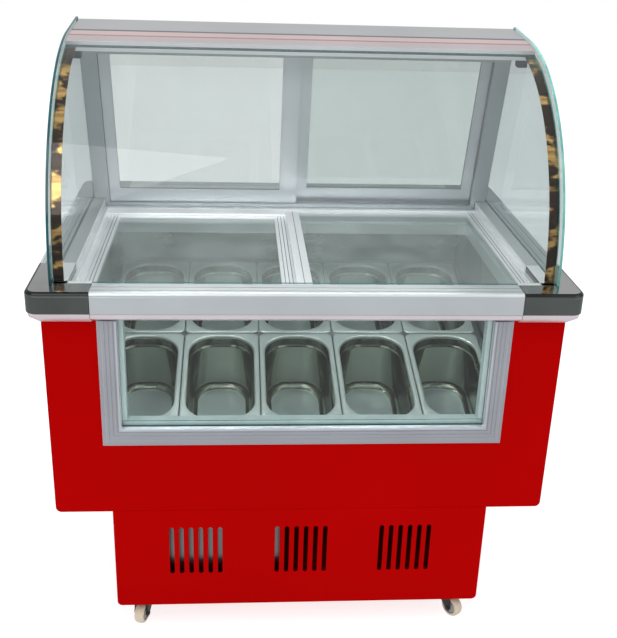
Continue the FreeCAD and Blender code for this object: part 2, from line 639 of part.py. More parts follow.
def make_panel(name, x, y, z, borders, glass, edge):
    """A framed glass panel: the frame is grooved for the glass, which fills it."""
    left, right, low, high = borders
    blank = box(f"{name}_blank", x, y, z)
    flat = "z" if value(f"({z[1]}) - ({z[0]})") < value(f"({y[1]}) - ({y[0]})") else "y"
    inner_x = (f"{x[0]} + {left}", f"{x[1]} - {right}")
    glass_x = (f"{x[0]} + {left} - {edge}", f"{x[1]} - {right} + {edge}")
    span = y if flat == "z" else z
    inner = (f"{span[0]} + {low}", f"{span[1]} - {high}")
    glass_span = (f"{span[0]} + {low} - {edge}", f"{span[1]} - {high} + {edge}")
    thick = z if flat == "z" else y
    middle = f"({thick[0]} + {thick[1]}) / 2"
    glass_thick = (f"{middle} - {glass} / 2", f"{middle} + {glass} / 2")
    if flat == "z":
        opening = box(f"{name}_opening", inner_x, inner, z)
        groove = box(f"{name}_groove", glass_x, glass_span, glass_thick)
        pane = box(f"{name}_pane", glass_x, glass_span, glass_thick)
    else:
        opening = box(f"{name}_opening", inner_x, y, inner)
        groove = box(f"{name}_groove", glass_x, glass_thick, glass_span)
        pane = box(f"{name}_pane", glass_x, glass_thick, glass_span)
    frame = cut(f"{name}_frame_cut", blank, fuse(f"{name}_tools", opening, groove))
    return frame, pane


def make_lids():
    """Two glass lids that slide past each other on the two steps of the track."""
    lids = (("left_lid", "lower", ("-lid_lower_side + lid_clearance", "-lid_meeting_offset"),
             ("lid_stile", "lid_meeting_stile")),
            ("right_lid", "upper", ("-lid_meeting_offset - lid_overlap", "lid_upper_side - lid_clearance"),
             ("lid_meeting_stile", "lid_stile")))
    for name, step, x, stiles in lids:
        y = (f"lid_{step}_front + lid_clearance", f"lid_{step}_back - lid_clearance")
        low = f"body_top + lid_{step}_step + lid_clearance"
        frame, pane = make_panel(name, x, y, (low, f"{low} + lid_thickness"),
                                 (*stiles, "lid_rail", "lid_rail"), "lid_glass", "lid_glass_edge")
        node(f"{name}_frame", frame)
        node(f"{name}_glass", pane)


def make_display_glass():
    """Two side glasses, a curved front glass between them, and its two edge trims."""
    side = new_body("side_glass_right")
    arc_top = arc_point("glass_radius", "roof_slope")
    outline = [("front + glass_setback", "counter_top"), ("glass_foot_y", "counter_top"),
               ("roof_end_y", "roof_end_z"), (*arc_top, "glass_radius", OUT),
               ("front + glass_setback", "glass_center_z")]
    pad(side, "YZ", outline, "glass_side - side_glass", "glass_side")
    node("side_glasses", group("side_glass_pair", side, mirrored("side_glass_left", side)))
    outer, inner = "front_glass_radius", "front_glass_radius - front_glass"
    curved = new_body("curved_glass")
    pad(curved, "YZ", band_outline(outer, inner), "-glass_inside", "glass_inside")
    node("curved_front_glass", curved)
    trim = new_body("edge_trim_right")
    pad(trim, "YZ", band_outline(inner, f"{inner} - trim_sheet"), "glass_inside - trim_width", "glass_inside")
    node("gold_edge_trims", group("edge_trim_pair", trim, mirrored("edge_trim_left", trim)))


def band_outline(outer, inner):
    """A curved band from the counter up to the canopy."""
    center = "glass_center_y"
    return [(f"{center} - ({outer})", "counter_top"), (f"{center} - ({inner})", "counter_top"),
            (f"{center} - ({inner})", "glass_center_z", inner, IN), arc_point(inner, "canopy_start"),
            (*arc_point(outer, "canopy_start"), outer, OUT), (f"{center} - ({outer})", "glass_center_z")]


def make_canopy():
    """The top extrusion between the side glasses, its lamp strip, and two glass clips."""
    canopy = new_body("canopy_blank")
    deep = "canopy_drop + canopy_thickness"
    outline = [(*arc_point("canopy_inner_radius", "canopy_start"), "canopy_inner_radius", IN),
               roof_point(0, deep), roof_point("canopy_run", deep), roof_point("canopy_run", "canopy_drop"),
               (*roof_point(0, "canopy_drop"), "canopy_radius", OUT),
               arc_point("canopy_radius", "canopy_start")]
    pad(canopy, "YZ", outline, "-glass_inside", "glass_inside")
    node("canopy_profile", canopy)
    lamp = new_body("lamp_blank")
    lamp_low = f"{deep} + lamp_thickness"
    outline = [roof_point(0, lamp_low), roof_point("lamp_run", lamp_low),
               roof_point("lamp_run", deep), roof_point(0, deep)]
    pad(lamp, "YZ", outline, "-glass_inside + lamp_end_gap", "glass_inside - lamp_end_gap")
    node("led_strip", lamp)
    clip = new_body("clip_right")
    clip_low = f"{deep} + clip_height"
    outline = [roof_point("-clip_width / 2", clip_low), roof_point("clip_width / 2", clip_low),
               roof_point("clip_width / 2", deep), roof_point("-clip_width / 2", f"{deep} + front_glass")]
    pad(clip, "YZ", outline, "glass_inside - clip_width", "glass_inside")
    node("glass_clips", group("clip_pair", clip, mirrored("clip_left", clip)))


def make_rear_frame():
    """The leaning frame on the server's side: two posts, a finned sill and a finned head."""
    post = new_body("post_right")
    thick = "frame_thickness"
    outline = [lean_point(0, "deck_z"), lean_point(thick, "deck_z"),
               lean_point(thick, "frame_top_z"), lean_point(0, "frame_top_z")]
    pad(post, "YZ", outline, "glass_inside - post_width", "glass_inside")
    inside = "glass_inside - post_width"
    stations = ("0", "fin", "door_front_gap + door_thickness + fin / 2",
                "door_front_gap + door_track_pitch - fin / 2",
                f"{thick} - fin", thick)
    combs = []
    for name, foot, web, tip in (("sill", "deck_z", "deck_z + fin", "deck_z + sill_height"),
                                 ("head", "frame_top_z", "frame_top_z - head_web",
                                  "frame_top_z - head_height")):
        comb = new_body(f"{name}_track")
        heights = (tip, tip, web, web, tip, tip, web, web, tip, tip)
        depths = (stations[0], stations[1], stations[1], stations[2], stations[2], stations[3],
                  stations[3], stations[4], stations[4], stations[5])
        teeth = [lean_point(depth, height) for depth, height in zip(depths, heights)]
        ends = [lean_point(thick, foot), lean_point(0, foot)]
        outline = teeth + ends if name == "head" else list(reversed(teeth + ends))
        pad(comb, "YZ", outline, f"-({inside})", inside)
        combs.append(comb)
    heel = box("post_heel", ("lid_frame_side", "glass_side"),
               ("frame_front_y - frame_thickness", "counter_back"),
               ("deck_z - sill_height", "counter_top"))
    feet = fuse("post_heels", heel, mirrored("post_heel_left", heel))
    blank = fuse("rear_frame_set", post, mirrored("post_left", post), *combs)
    node("rear_frame", cut("rear_frame_cut", blank, feet))


def make_doors():
    """Two leaning glass doors that slide past each other, one in each groove."""
    doors = (("left_door", "door_front_gap", ("-door_reach", "door_overlap"),
              ("door_stile", "door_meeting_stile")),
             ("right_door", "door_front_gap + door_track_pitch", ("-door_overlap", "door_reach"),
              ("door_meeting_stile", "door_stile")))
    for name, depth, x, stiles in doors:
        frame, pane = make_panel(name, x, (depth, f"{depth} + door_thickness"),
                                 ("door_lift", "door_lift + door_height"),
                                 (*stiles, "door_rail", "door_top_rail"), "door_glass", "door_glass_edge")
        for part, thing in (("frame", frame), ("glass", pane)):
            leaning = node(f"{name}_{part}", group(f"{name}_{part}_set", thing))
            place(leaning, 0, "frame_front_y", "deck_z", "X", "rear_lean")


def caster_places():
    """Name, place and resting turn of each caster."""
    return (("front_left", "-caster_x", "caster_front_y", 72),
            ("front_right", "caster_x", "caster_front_y", 125),
            ("rear_left", "-caster_x", "caster_back_y", 30), ("rear_right", "caster_x", "caster_back_y", 200))


def caster_bolts():
    """The four bolt places of each caster plate."""
    return [(f"{x} + {sx} * bolt_spread / 2", f"{y} + {sy} * bolt_spread / 2")
            for _, x, y, _ in caster_places() for sx in (-1, 1) for sy in (-1, 1)]


def make_casters():
    """Four swivel casters: a fixed plate with its kingpin, a fork with its axle, and a wheel."""
    plates = []
    under = "caster_height - caster_plate_sheet"
    nut_top = f"{under} - 3 * fork_sheet"
    for name, x, y, _ in caster_places():
        half = "caster_plate / 2"
        plates.append(fuse(f"plate_{name}",
                           box("plate", (f"{x} - {half}", f"{x} + {half}"), (f"{y} - {half}", f"{y} + {half}"),
                               (under, "caster_height")),
                           rod("kingpin", "kingpin_radius", f"3 * fork_sheet + fork_gap",
                               (x, y, f"{nut_top} - fork_gap")),
                           rod("kingpin_nut", "kingpin_nut_radius", "fork_gap",
                               (x, y, f"{nut_top} - fork_gap"))))
    drilled = cut("plates_drilled", fuse("plates_joined", *plates),
                  fuse("plate_holes", *[rod("plate_hole", "screw_radius + screw_clearance",
                                            "2 * caster_plate_sheet",
                                            (x, y, "caster_height - 1.5 * caster_plate_sheet"))
                                        for x, y in caster_bolts()]))
    node("caster_plates", drilled)
    fork = make_fork(under)
    wheel = make_wheel()
    for name, x, y, turn in caster_places():
        for part, pattern in (("fork", fork), ("wheel", wheel)):
            copy = node(f"caster_{part}_{name}", group(f"caster_{part}", pattern))
            place(copy, x, y, 0, "Z", turn)


def make_fork(under):
    """A caster fork about its own swivel axis; the wheel trails towards -X."""
    head_top = f"{under} - fork_gap / 4"
    head_low = f"{under} - fork_sheet"
    bridge_low = f"{under} - 3 * fork_sheet + fork_gap / 4"
    axle, boss = "caster_trail", "2 * axle_radius"
    leg_outline = [(f"-{axle} - {boss}", "wheel_radius"), (f"-{axle} - {boss} / 2", f"wheel_radius - {boss}"),
                   (f"-{axle} + {boss} / 2", f"wheel_radius - {boss}"), (f"-{axle} + {boss}", "wheel_radius"),
                   ("fork_head_radius - fork_sheet", f"{bridge_low} - 2 * fork_sheet"),
                   ("fork_head_radius", head_low), ("-fork_head_radius", head_low)]
    leg = new_body("fork_leg")
    pad(leg, "XZ", leg_outline, "fork_inside", "fork_outside")
    bridge = box("fork_bridge", ("-fork_head_radius", "fork_head_radius"), ("-fork_outside", "fork_outside"),
                 (bridge_low, head_low))
    head = rod("fork_head", "fork_head_radius", f"{head_top} - ({head_low})", (0, 0, head_low))
    pin = rod("fork_axle", "axle_radius", "2 * (fork_outside + fork_gap)",
              (f"-{axle}", "-fork_outside - fork_gap", "wheel_radius"), "Y")
    blank = fuse("fork_blank", leg, mirrored("fork_leg_far", leg, "Y"), bridge, head, pin)
    bore = rod("fork_bore", "kingpin_radius + running_clearance", "4 * fork_sheet",
               (0, 0, f"{bridge_low} - fork_gap"))
    return cut("fork_pattern", blank, bore)


def make_wheel():
    """A caster wheel with a crowned tread, turned about its axle."""
    wheel = new_body("wheel_turned")
    bore, half, rim = "axle_radius + running_clearance", "wheel_width / 2", "wheel_radius"
    shoulder = "wheel_width / 6"
    outline = [(f"-{half}", bore), (half, bore), (half, f"{rim} - {shoulder}", shoulder, OUT),
               (f"{half} - {shoulder}", rim), (f"-{half} + {shoulder}", rim, shoulder, OUT),
               (f"-{half}", f"{rim} - {shoulder}")]
    revolve(wheel, "YZ", outline, "H_Axis")
    return place(wheel, "-caster_trail", 0, "wheel_radius")


def make_compressor():
    """A hermetic compressor can on a mounting plate."""
    can = new_body("compressor_can")
    radius, high = "compressor_radius", "compressor_height"
    crown = f"{radius} / 2"
    outline = [(0, 0), (f"{radius} - {crown}", 0, crown, OUT), (radius, crown),
               (radius, f"{high} - {crown}", crown, OUT),
               (f"{radius} - {crown}", high), (0, high)]
    revolve(can, "XZ", outline, "V_Axis")
    floor = "caster_height + skin + pipe_pitch"
    place(can, "compressor_offset", 0, floor)
    low = "caster_height + skin"
    foot = box("compressor_foot", (f"compressor_offset - {radius}", f"compressor_offset + {radius}"),
               (f"-{radius}", radius), (low, f"{low} + panel_thickness"))
    neck = rod("compressor_neck", f"{radius} / 2", "pipe_pitch + shaft_radius", ("compressor_offset", 0, low))
    node("compressor", fuse("compressor_set", can, foot, neck))


def make_condenser():
    """A finned condenser behind the front slots, with a shroud, motor and fan behind it."""
    x = ("-condenser_offset - condenser_width / 2", "-condenser_offset + condenser_width / 2")
    z = ("fan_z - condenser_height / 2", "fan_z + condenser_height / 2")
    node("condenser", box("condenser_block", x, ("front + condenser_gap", "fan_y"), z))
    shroud_back = "fan_y + hub_length + fan_ring"
    plate = box("shroud_plate", x, ("fan_y", shroud_back), z)
    hole = rod("shroud_hole", "fan_radius + fan_ring", "2 * hub_length",
               ("-condenser_offset", "fan_y - fan_ring", "fan_z"), "Y")
    struts = []
    for name, span_x, span_z in (("across", "fan_radius + 2 * fan_ring", "fan_ring"),
                                 ("upright", "fan_ring", "fan_radius + 2 * fan_ring")):
        struts.append(box(f"strut_{name}", (f"-condenser_offset - ({span_x})", f"-condenser_offset + {span_x}"),
                          (shroud_back, f"{shroud_back} + fan_ring"),
                           (f"fan_z - ({span_z})", f"fan_z + {span_z}")))
    motor = rod("motor", "motor_radius", "motor_length",
                ("-condenser_offset", f"{shroud_back} + fan_ring", "fan_z"), "Y")
    shaft = rod("motor_shaft", "shaft_radius", "hub_length",
                ("-condenser_offset", f"{shroud_back} - hub_length", "fan_z"), "Y")
    node("fan_shroud", fuse("shroud_set", cut("shroud_cut", plate, hole), *struts, motor, shaft))
    hub_at = ("-condenser_offset", "fan_y + fan_ring / 2", "fan_z")
    hub = rod("fan_hub", "hub_radius", "hub_length", hub_at, "Y")
    blades = []
    for number in range(int(value("fan_blades"))):
        blade = box("blade_flat", ("-blade_chord / 2", "blade_chord / 2"),
                    ("-blade_sheet / 2", "blade_sheet / 2"),
                    ("blade_root", "fan_radius - fan_ring"))
        pitched = group("blade_pitched", blade)
        place(pitched, axis="Z", angle="blade_pitch")
        turned = group("blade_turned", pitched)
        blades.append(place(turned, "-condenser_offset", "fan_y + fan_ring / 2 + hub_length / 2", "fan_z",
                            "Y", f"{number} * 360 / fan_blades"))
    bore = rod("fan_bore", "shaft_radius + running_clearance", "2 * hub_length",
               ("-condenser_offset", "fan_y - fan_ring", "fan_z"), "Y")
    node("fan_blade", cut("fan_bored", fuse("fan_blank", hub, *blades), bore))


def make_evaporator():
    """A finned evaporator low in the well, and the pipes that feed it through the floor."""
    low = "well_floor + evaporator_margin / 2"
    back = "well_back - evaporator_margin"
    node("evaporator", box("evaporator_block", ("-well_side + evaporator_end", "well_side - evaporator_end"),
                           (f"{back} - evaporator_depth", back), (low, f"{low} + evaporator_height")))
    pipes = []
    for number, x in enumerate(pipe_stations()):
        start_z = f"caster_height + skin + pipe_pitch + compressor_height / (2 + {number})"
        corner = (x, "pipe_line_y", start_z)
        pipes.append(rod("pipe_riser", "pipe_radius", f"{low} - ({start_z})", corner))
        pipes.append(ball("pipe_elbow", "pipe_radius", corner))
        reach = f"sqrt(compressor_radius ^ 2 - ({number} * pipe_pitch) ^ 2)"
        pipes.append(rod("pipe_run", "pipe_radius", f"pipe_line_y - {reach} + pipe_radius / 2",
                         (x, f"{reach} - pipe_radius / 2", start_z), "Y"))
    first, second = fuse("suction_line", *pipes[:3]), fuse("liquid_line", *pipes[3:])
    lines = group("line_pair", first, second)
    node("refrigerant_lines", cut("lines_trimmed", lines, make_trimmer()))


def make_trimmer():
    """The compressor's own outline, taken off the pipe ends so that they meet its can."""
    return rod("compressor_trimmer", "compressor_radius", "compressor_height",
               ("compressor_offset", 0, "caster_height + skin + pipe_pitch"))


def gland_place(y):
    """Where the cord gland sits on the rear panel, at a station along Y."""
    return "base_side - gland_inset", y, "caster_height + gland_inset"


def grille_screws():
    """The screws along the top and bottom of the rear panel."""
    inset = "screw_inset"
    return [(f"{side} * (base_side - {inset})", z) for side in (-1, 0, 1)
            for z in (f"caster_height + {inset}", f"body_bottom - {inset}")]


def make_controls():
    """A fascia on the rear panel with a rocker switch, and the gland where a supply cord enters."""
    z = ("panel_z - panel_height / 2", "panel_z + panel_height / 2")
    fascia = box("fascia", ("panel_x", "panel_x + panel_width"), ("base_back", "base_back + panel_thickness"),
                 z)
    center_x, gap = "panel_x + rocker_place", "rocker_gap"
    hole = box("rocker_hole",
               (f"{center_x} - rocker_width / 2 - {gap}", f"{center_x} + rocker_width / 2 + {gap}"),
               ("base_back - skin", "base_back + 2 * panel_thickness"),
               (f"panel_z - rocker_height / 2 - {gap}", f"panel_z + rocker_height / 2 + {gap}"))
    node("control_panel", cut("fascia_cut", fascia, hole))
    rocker = box("rocker", ("-rocker_width / 2", "rocker_width / 2"), ("-rocker_depth / 2", "rocker_depth / 2"),
                 ("-rocker_height / 2", "rocker_height / 2"))
    pin_end = "rocker_width / 2 + rocker_gap - running_clearance"
    pin = rod("rocker_pin", "rocker_pin", f"2 * ({pin_end})", (f"-({pin_end})", 0, 0), "X")
    switch = node("power_switch", group("rocker_set", fuse("rocker_pinned", rocker, pin)))
    place(switch, center_x, "base_back + panel_thickness", "panel_z", "X", "rocker_throw")
    gland = new_body("gland_turned")
    radius = "gland_radius"
    outline = [("0", "gland_bore"), ("gland_length", "gland_bore"), ("gland_length", "gland_bore + gland_lip"),
               (f"gland_length - {radius} / 2", radius), ("0", radius)]
    revolve(gland, "YZ", outline, "H_Axis")
    x, y, z = gland_place("base_back")
    place(gland, x, y, z)
    node("cord_gland", gland)


def make_screws():
    """Pan-head screws of the rear panel and of the caster plates."""
    screws = []
    for x, z in grille_screws():
        screws.append(fuse("panel_screw",
                           rod("head", "screw_head", "screw_head_height", (x, "base_back", z), "Y"),
                           rod("shank", "screw_radius", "screw_length", (x, "base_back - screw_length", z),
                               "Y")))
    low = "caster_height - caster_plate_sheet"
    for x, y in caster_bolts():
        screws.append(fuse("caster_screw",
                           rod("head", "screw_head", "screw_head_height", (x, y, f"{low} - screw_head_height")),
                           rod("shank", "screw_radius", "screw_length", (x, y, low))))
    node("assembly_screws", group("screw_set", *screws))


def check_and_export():
    """Stop on any failed object or faulty shape, then write one file for each sub-part."""
    document.recompute()
    failed = [item.Label for item in document.Objects if {"Invalid", "Error"} & set(item.State)]
    for item in nodes:
        if item.Shape.isNull() or not item.Shape.isValid() or not item.Shape.Solids:
            failed.append(item.Label)
    if failed:
        raise RuntimeError(f"failed objects: {failed}")
    os.makedirs("parts", exist_ok=True)
    for item in nodes:
        item.Shape.exportStep(f"parts/{item.Label}.step")
    print(len(nodes), "sub-parts written")


sheet = make_sheet()
layout = make_layout()
for make in (make_pans, make_pan_support, make_body, make_base, make_window, make_counter, make_lid_track,
             make_lids, make_display_glass, make_canopy, make_rear_frame, make_doors, make_casters,
             make_compressor, make_condenser, make_evaporator, make_controls, make_screws):
    make()
check_and_export()
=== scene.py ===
"""The looks of an ice cream dipping cabinet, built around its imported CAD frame."""

import json
import logging
import math
from collections.abc import Callable, Sequence
from dataclasses import dataclass, field
from enum import Enum
from functools import cache

import bmesh
import bpy
from mathutils import Matrix, Vector

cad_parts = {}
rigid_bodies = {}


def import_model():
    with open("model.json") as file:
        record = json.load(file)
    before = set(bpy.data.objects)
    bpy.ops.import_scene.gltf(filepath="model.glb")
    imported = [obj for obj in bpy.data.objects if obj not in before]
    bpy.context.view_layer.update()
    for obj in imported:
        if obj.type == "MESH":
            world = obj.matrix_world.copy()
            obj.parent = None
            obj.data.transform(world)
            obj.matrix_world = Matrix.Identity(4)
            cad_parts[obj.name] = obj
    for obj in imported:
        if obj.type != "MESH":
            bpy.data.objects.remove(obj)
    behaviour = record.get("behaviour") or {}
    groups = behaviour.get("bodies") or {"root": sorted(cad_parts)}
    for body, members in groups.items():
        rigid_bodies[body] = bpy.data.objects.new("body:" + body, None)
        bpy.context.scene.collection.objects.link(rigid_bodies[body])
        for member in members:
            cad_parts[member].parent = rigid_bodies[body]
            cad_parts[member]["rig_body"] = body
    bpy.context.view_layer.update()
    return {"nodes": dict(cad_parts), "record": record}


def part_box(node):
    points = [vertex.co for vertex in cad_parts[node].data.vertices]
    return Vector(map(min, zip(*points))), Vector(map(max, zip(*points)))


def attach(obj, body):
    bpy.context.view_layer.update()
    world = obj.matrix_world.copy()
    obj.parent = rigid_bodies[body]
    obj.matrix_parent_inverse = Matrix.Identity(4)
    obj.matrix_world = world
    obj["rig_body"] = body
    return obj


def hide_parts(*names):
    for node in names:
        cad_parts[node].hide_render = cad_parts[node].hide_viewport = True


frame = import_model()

LOG = logging.getLogger("dipping_cabinet")
MERGE = 1e-6
Colour = tuple[float, float, float]
Outline = Sequence[tuple[float, float]]
Ring = list[Vector]


# ---------------------------------------------------------------- finishes


class Grain(Enum):
    """How a metal's brushing is drawn out: small numbers run long."""

    ALONG_X = (0.03, 1.0, 1.0)
    ALONG_Y = (1.0, 0.03, 1.0)
    ALONG_Z = (1.0, 1.0, 0.03)
    NONE = (1.0, 1.0, 1.0)


class Shader:
    """One material's node tree, with short ways to add the nodes that the finishes share."""

    def __init__(self, name: str) -> None:
        """Start an empty node material.

        Args:
            name: The material's name.
        """
        self.material = bpy.data.materials.new(name)
        self.material.use_nodes = True
        self.tree = self.material.node_tree
        self.tree.nodes.clear()
        self.output = self.tree.nodes.new("ShaderNodeOutputMaterial")
        self.place = self.tree.nodes.new("ShaderNodeTexCoord").outputs["Object"]

    def add(self, kind: str, sockets: dict, **settings: object) -> bpy.types.Node:
        """Add a node.

        Args:
            kind: The node's type name after ShaderNode.
            sockets: Input name or number to a value or to another node's output.
            settings: The node's own settings.

        Returns:
            The new node.
        """
        node = self.tree.nodes.new(f"ShaderNode{kind}")
        for name, setting in settings.items():
            setattr(node, name, setting)
        for name, given in sockets.items():
            if isinstance(given, bpy.types.NodeSocket):
                self.tree.links.new(given, node.inputs[name])
            else:
                node.inputs[name].default_value = given
        return node

    def noise(self, scale: float, detail: float = 3.0,
              stretch: Colour = (1.0, 1.0, 1.0)) -> bpy.types.NodeSocket:
        """Noise on the piece's own coordinates.

        Args:
            scale: Waves per metre, roughly.
            detail: Octaves.
            stretch: How much each axis is scaled before the noise.

        Returns:
            The noise's factor.
        """
        mapped = self.add("Mapping", {"Vector": self.place, "Scale": stretch}).outputs["Vector"]
        return self.add("TexNoise", {"Vector": mapped, "Scale": scale, "Detail": detail}).outputs["Fac"]

    def spread(self, source: bpy.types.NodeSocket, low: float, high: float,
               start: float = 0.35, end: float = 0.65) -> bpy.types.NodeSocket:
        """Stretch a factor over a range of values.

        Args:
            source: The factor.
            low: The value at start.
            high: The value at end.
            start: Where the range starts.
            end: Where the range ends.

        Returns:
            The value.
        """
        return self.add("MapRange", {"Value": source, "From Min": start, "From Max": end,
                                     "To Min": low, "To Max": high}).outputs["Result"]

    def blend(self, factor: bpy.types.NodeSocket, first: Colour, second: Colour) -> bpy.types.NodeSocket:
        """Mix two colours.

        Args:
            factor: How much of the second colour.
            first: The first colour.
            second: The second colour.

        Returns:
            The mixed colour.
        """
        node = self.add("Mix", {0: factor}, data_type="RGBA")
        node.inputs[6].default_value = (*first, 1.0)
        node.inputs[7].default_value = (*second, 1.0)
        return node.outputs[2]

    def bump(self, height: bpy.types.NodeSocket, depth: float, strength: float = 1.0) -> bpy.types.NodeSocket:
        """A bump from a height.

        Args:
            height: The height's factor.
            depth: The height of one unit, in metres.
            strength: How much of the bump shows.

        Returns:
            The bumped normal.
        """
        return self.add("Bump", {"Height": height, "Distance": depth, "Strength": strength}).outputs["Normal"]

    def close(self, shader: bpy.types.Node) -> bpy.types.Material:
        """Link the last shader to the output and return the material."""
        self.tree.links.new(shader.outputs[0], self.output.inputs["Surface"])
        return self.material


def shade(colour: Colour, factor: float) -> Colour:
    """A colour made lighter or darker by a factor."""
    return tuple(min(1.0, part * factor) for part in colour)


@dataclass(frozen=True)
class Finish:
    """A named surface; each kind of finish makes its own node material once."""

    name: str
    slot: str
    colour: Colour

    def make(self) -> bpy.types.Material:
        """Build the node material."""
        raise NotImplementedError

    @cache
    def material(self) -> bpy.types.Material:
        """The node material, built at its first use."""
        return self.make()


@dataclass(frozen=True)
class Paint(Finish):
    """Sprayed gloss enamel with a fine orange-peel skin and faint dust."""

    roughness: float = 0.3
    dust: float = 0.05

    def make(self) -> bpy.types.Material:
        """Build the node material."""
        shader = Shader(self.name)
        cloud = shader.spread(shader.noise(3.0, 4.0), 0.0, 1.0)
        colour = shader.blend(cloud, shade(self.colour, 0.97), shade(self.colour, 1.03))
        wear = shader.spread(shader.noise(14.0, 6.0), self.roughness, self.roughness + self.dust)
        peel = shader.bump(shader.noise(420.0, 2.0), 0.00012, 0.25)
        return shader.close(shader.add("BsdfPrincipled", {
            "Base Color": colour, "Roughness": wear, "Normal": peel,
            "Coat Weight": 0.012, "Coat Roughness": 0.08, "Specular IOR Level": 0.005}))


@dataclass(frozen=True)
class Metal(Finish):
    """Brushed, rolled or polished metal, with its grain, smears and light scratches."""

    roughness: float = 0.3
    grain: Grain = Grain.NONE
    grain_depth: float = 0.00003
    mottle: float = 0.025
    metallic: float = 1.0

    def make(self) -> bpy.types.Material:
        """Build the node material."""
        shader = Shader(self.name)
        smear = shader.spread(shader.noise(7.0, 5.0), 0.0, 1.0)
        colour = shader.blend(smear, shade(self.colour, 1 - self.mottle), shade(self.colour, 1 + self.mottle))
        brushed = shader.noise(900.0, 3.0, self.grain.value)
        scratched = shader.add("Math", {0: brushed, 1: smear}, operation="ADD").outputs[0]
        rough = shader.spread(scratched, self.roughness * 0.9, self.roughness * 1.1, 0.5, 1.5)
        return shader.close(shader.add("BsdfPrincipled", {
            "Base Color": colour, "Roughness": rough, "Metallic": self.metallic,
            "Normal": shader.bump(brushed, self.grain_depth, 0.4)}))


@dataclass(frozen=True)
class Gilding(Finish):
    """Gold mirror film with noise bands of painted dark reflection laid into its colour."""

    # the colour of the painted dark reflection
    dark: Colour = (0.035, 0.017, 0.006)

    def make(self) -> bpy.types.Material:
        """Build the node material."""
        shader = Shader(self.name)
        # painted reflection: noise bands mix the dark colour into the gold
        bands = shader.spread(shader.noise(34.0, 5.0, (0.5, 0.5, 1.0)), 0.0, 1.0, 0.49, 0.56)
        grain = shader.noise(300.0, 3.0)
        colour = shader.blend(bands, self.dark, self.colour)
        rough = shader.spread(grain, 0.05, 0.16)
        return shader.close(shader.add("BsdfPrincipled", {
            "Base Color": colour, "Roughness": rough, "Metallic": 1.0,
            "Normal": shader.bump(grain, 0.00002, 0.3)}))


@dataclass(frozen=True)
class Glass(Finish):
    """A clear pane: a tinted see-through face under a mirror skin, with faint wiped smears."""

    ior: float = 1.5
    haze: float = 0.0

    def make(self) -> bpy.types.Material:
        """Build the node material."""
        shader = Shader(self.name)
        smear = shader.noise(9.0, 5.0, (1.0, 1.0, 0.4))
        skin = shader.add("BsdfGlossy", {"Color": (1.0, 1.0, 1.0, 1.0),
                                         "Roughness": shader.spread(smear, 0.0, 0.06)})
        clear = shader.add("BsdfTransparent", {
            "Color": shader.blend(shader.spread(smear, 0.0, 1.0), shade(self.colour, 0.99), self.colour)})
        veil = shader.add("BsdfDiffuse", {"Color": (0.75, 0.82, 0.8, 1.0)})
        dusty = shader.spread(smear, self.haze * 0.5, self.haze)
        body = shader.add("MixShader", {0: dusty, 1: clear.outputs[0], 2: veil.outputs[0]})
        turned = shader.tree.nodes.new("ShaderNodeNewGeometry").outputs["Backfacing"]
        outer = shader.add("Math", {0: 1.0, 1: turned}, operation="SUBTRACT").outputs[0]
        facing = shader.add("Math", {0: shader.add("Fresnel", {"IOR": self.ior}).outputs[0], 1: outer},
                            operation="MULTIPLY").outputs[0]
        return shader.close(shader.add("MixShader", {0: facing, 1: body.outputs[0], 2: skin.outputs[0]}))


@dataclass(frozen=True)
class Moulding(Finish):
    """Moulded plastic, rubber, foam or enamelled fittings with a fine texture."""

    roughness: float = 0.45
    texture: float = 500.0
    depth: float = 0.00008
    mottle: float = 0.06
    glow: float = 0.0

    def make(self) -> bpy.types.Material:
        """Build the node material."""
        shader = Shader(self.name)
        cloud = shader.spread(shader.noise(22.0, 5.0), 0.0, 1.0)
        colour = shader.blend(cloud, shade(self.colour, 1 - self.mottle), shade(self.colour, 1 + self.mottle))
        rough = shader.spread(shader.noise(40.0, 3.0), self.roughness * 0.85, self.roughness * 1.15)
        sockets = {"Base Color": colour, "Roughness": rough,
                   "Normal": shader.bump(shader.noise(self.texture, 2.0), self.depth, 0.5)}
        if self.glow:
            sockets |= {"Emission Color": (1.0, 1.0, 1.0, 1.0), "Emission Strength": self.glow}
        return shader.close(shader.add("BsdfPrincipled", sockets))


RED = Paint("red_enamel", "red_paint", (0.36, 0.0004, 0.0005))
ALU_X = Metal("aluminium_long", "satin_aluminium", (0.70, 0.735, 0.76), 0.38, Grain.ALONG_X, metallic=0.8)
ALU_Y = Metal("aluminium_deep", "satin_aluminium", (0.80, 0.82, 0.83), 0.38, Grain.ALONG_Y, metallic=0.8)
ALU_Z = Metal("aluminium_upright", "satin_aluminium", (0.80, 0.80, 0.84), 0.38, Grain.ALONG_Z, metallic=0.8)
# a brighter copy of the aluminium for the lids, their track and the corner plates; on the window frame's outer
# edge and the canopy's front end and underside it is painted light
ALU_BRIGHT_AND_PAINTED_LIGHT = Metal("aluminium_bright_and_painted_light", "satin_aluminium", (0.84, 0.85, 0.87),
                   0.34, Grain.ALONG_Y, metallic=0.7)
# painted light: a lighter, pinkish copy of the aluminium for the counter's downward lip, the caps' lip faces
# and two walls of the window frame's flutes
ALU_PINK_PAINTED_LIGHT = Metal("aluminium_pink_painted_light", "satin_aluminium", (0.88, 0.79, 0.83), 0.42, Grain.ALONG_X, metallic=0.7)
# painted shade: a darker copy of the aluminium for the leaning frame
ALU_SCREEN_SHADED = Metal("aluminium_screen_painted_shade", "satin_aluminium", (0.42, 0.45, 0.465),
                   0.40, Grain.ALONG_Z, metallic=0.8)
# painted shade: a darker copy of the aluminium for the door frames
ALU_DOOR_SHADED = Metal("aluminium_door_painted_shade", "satin_aluminium", (0.60, 0.62, 0.645), 0.40, Grain.ALONG_X, metallic=0.8)
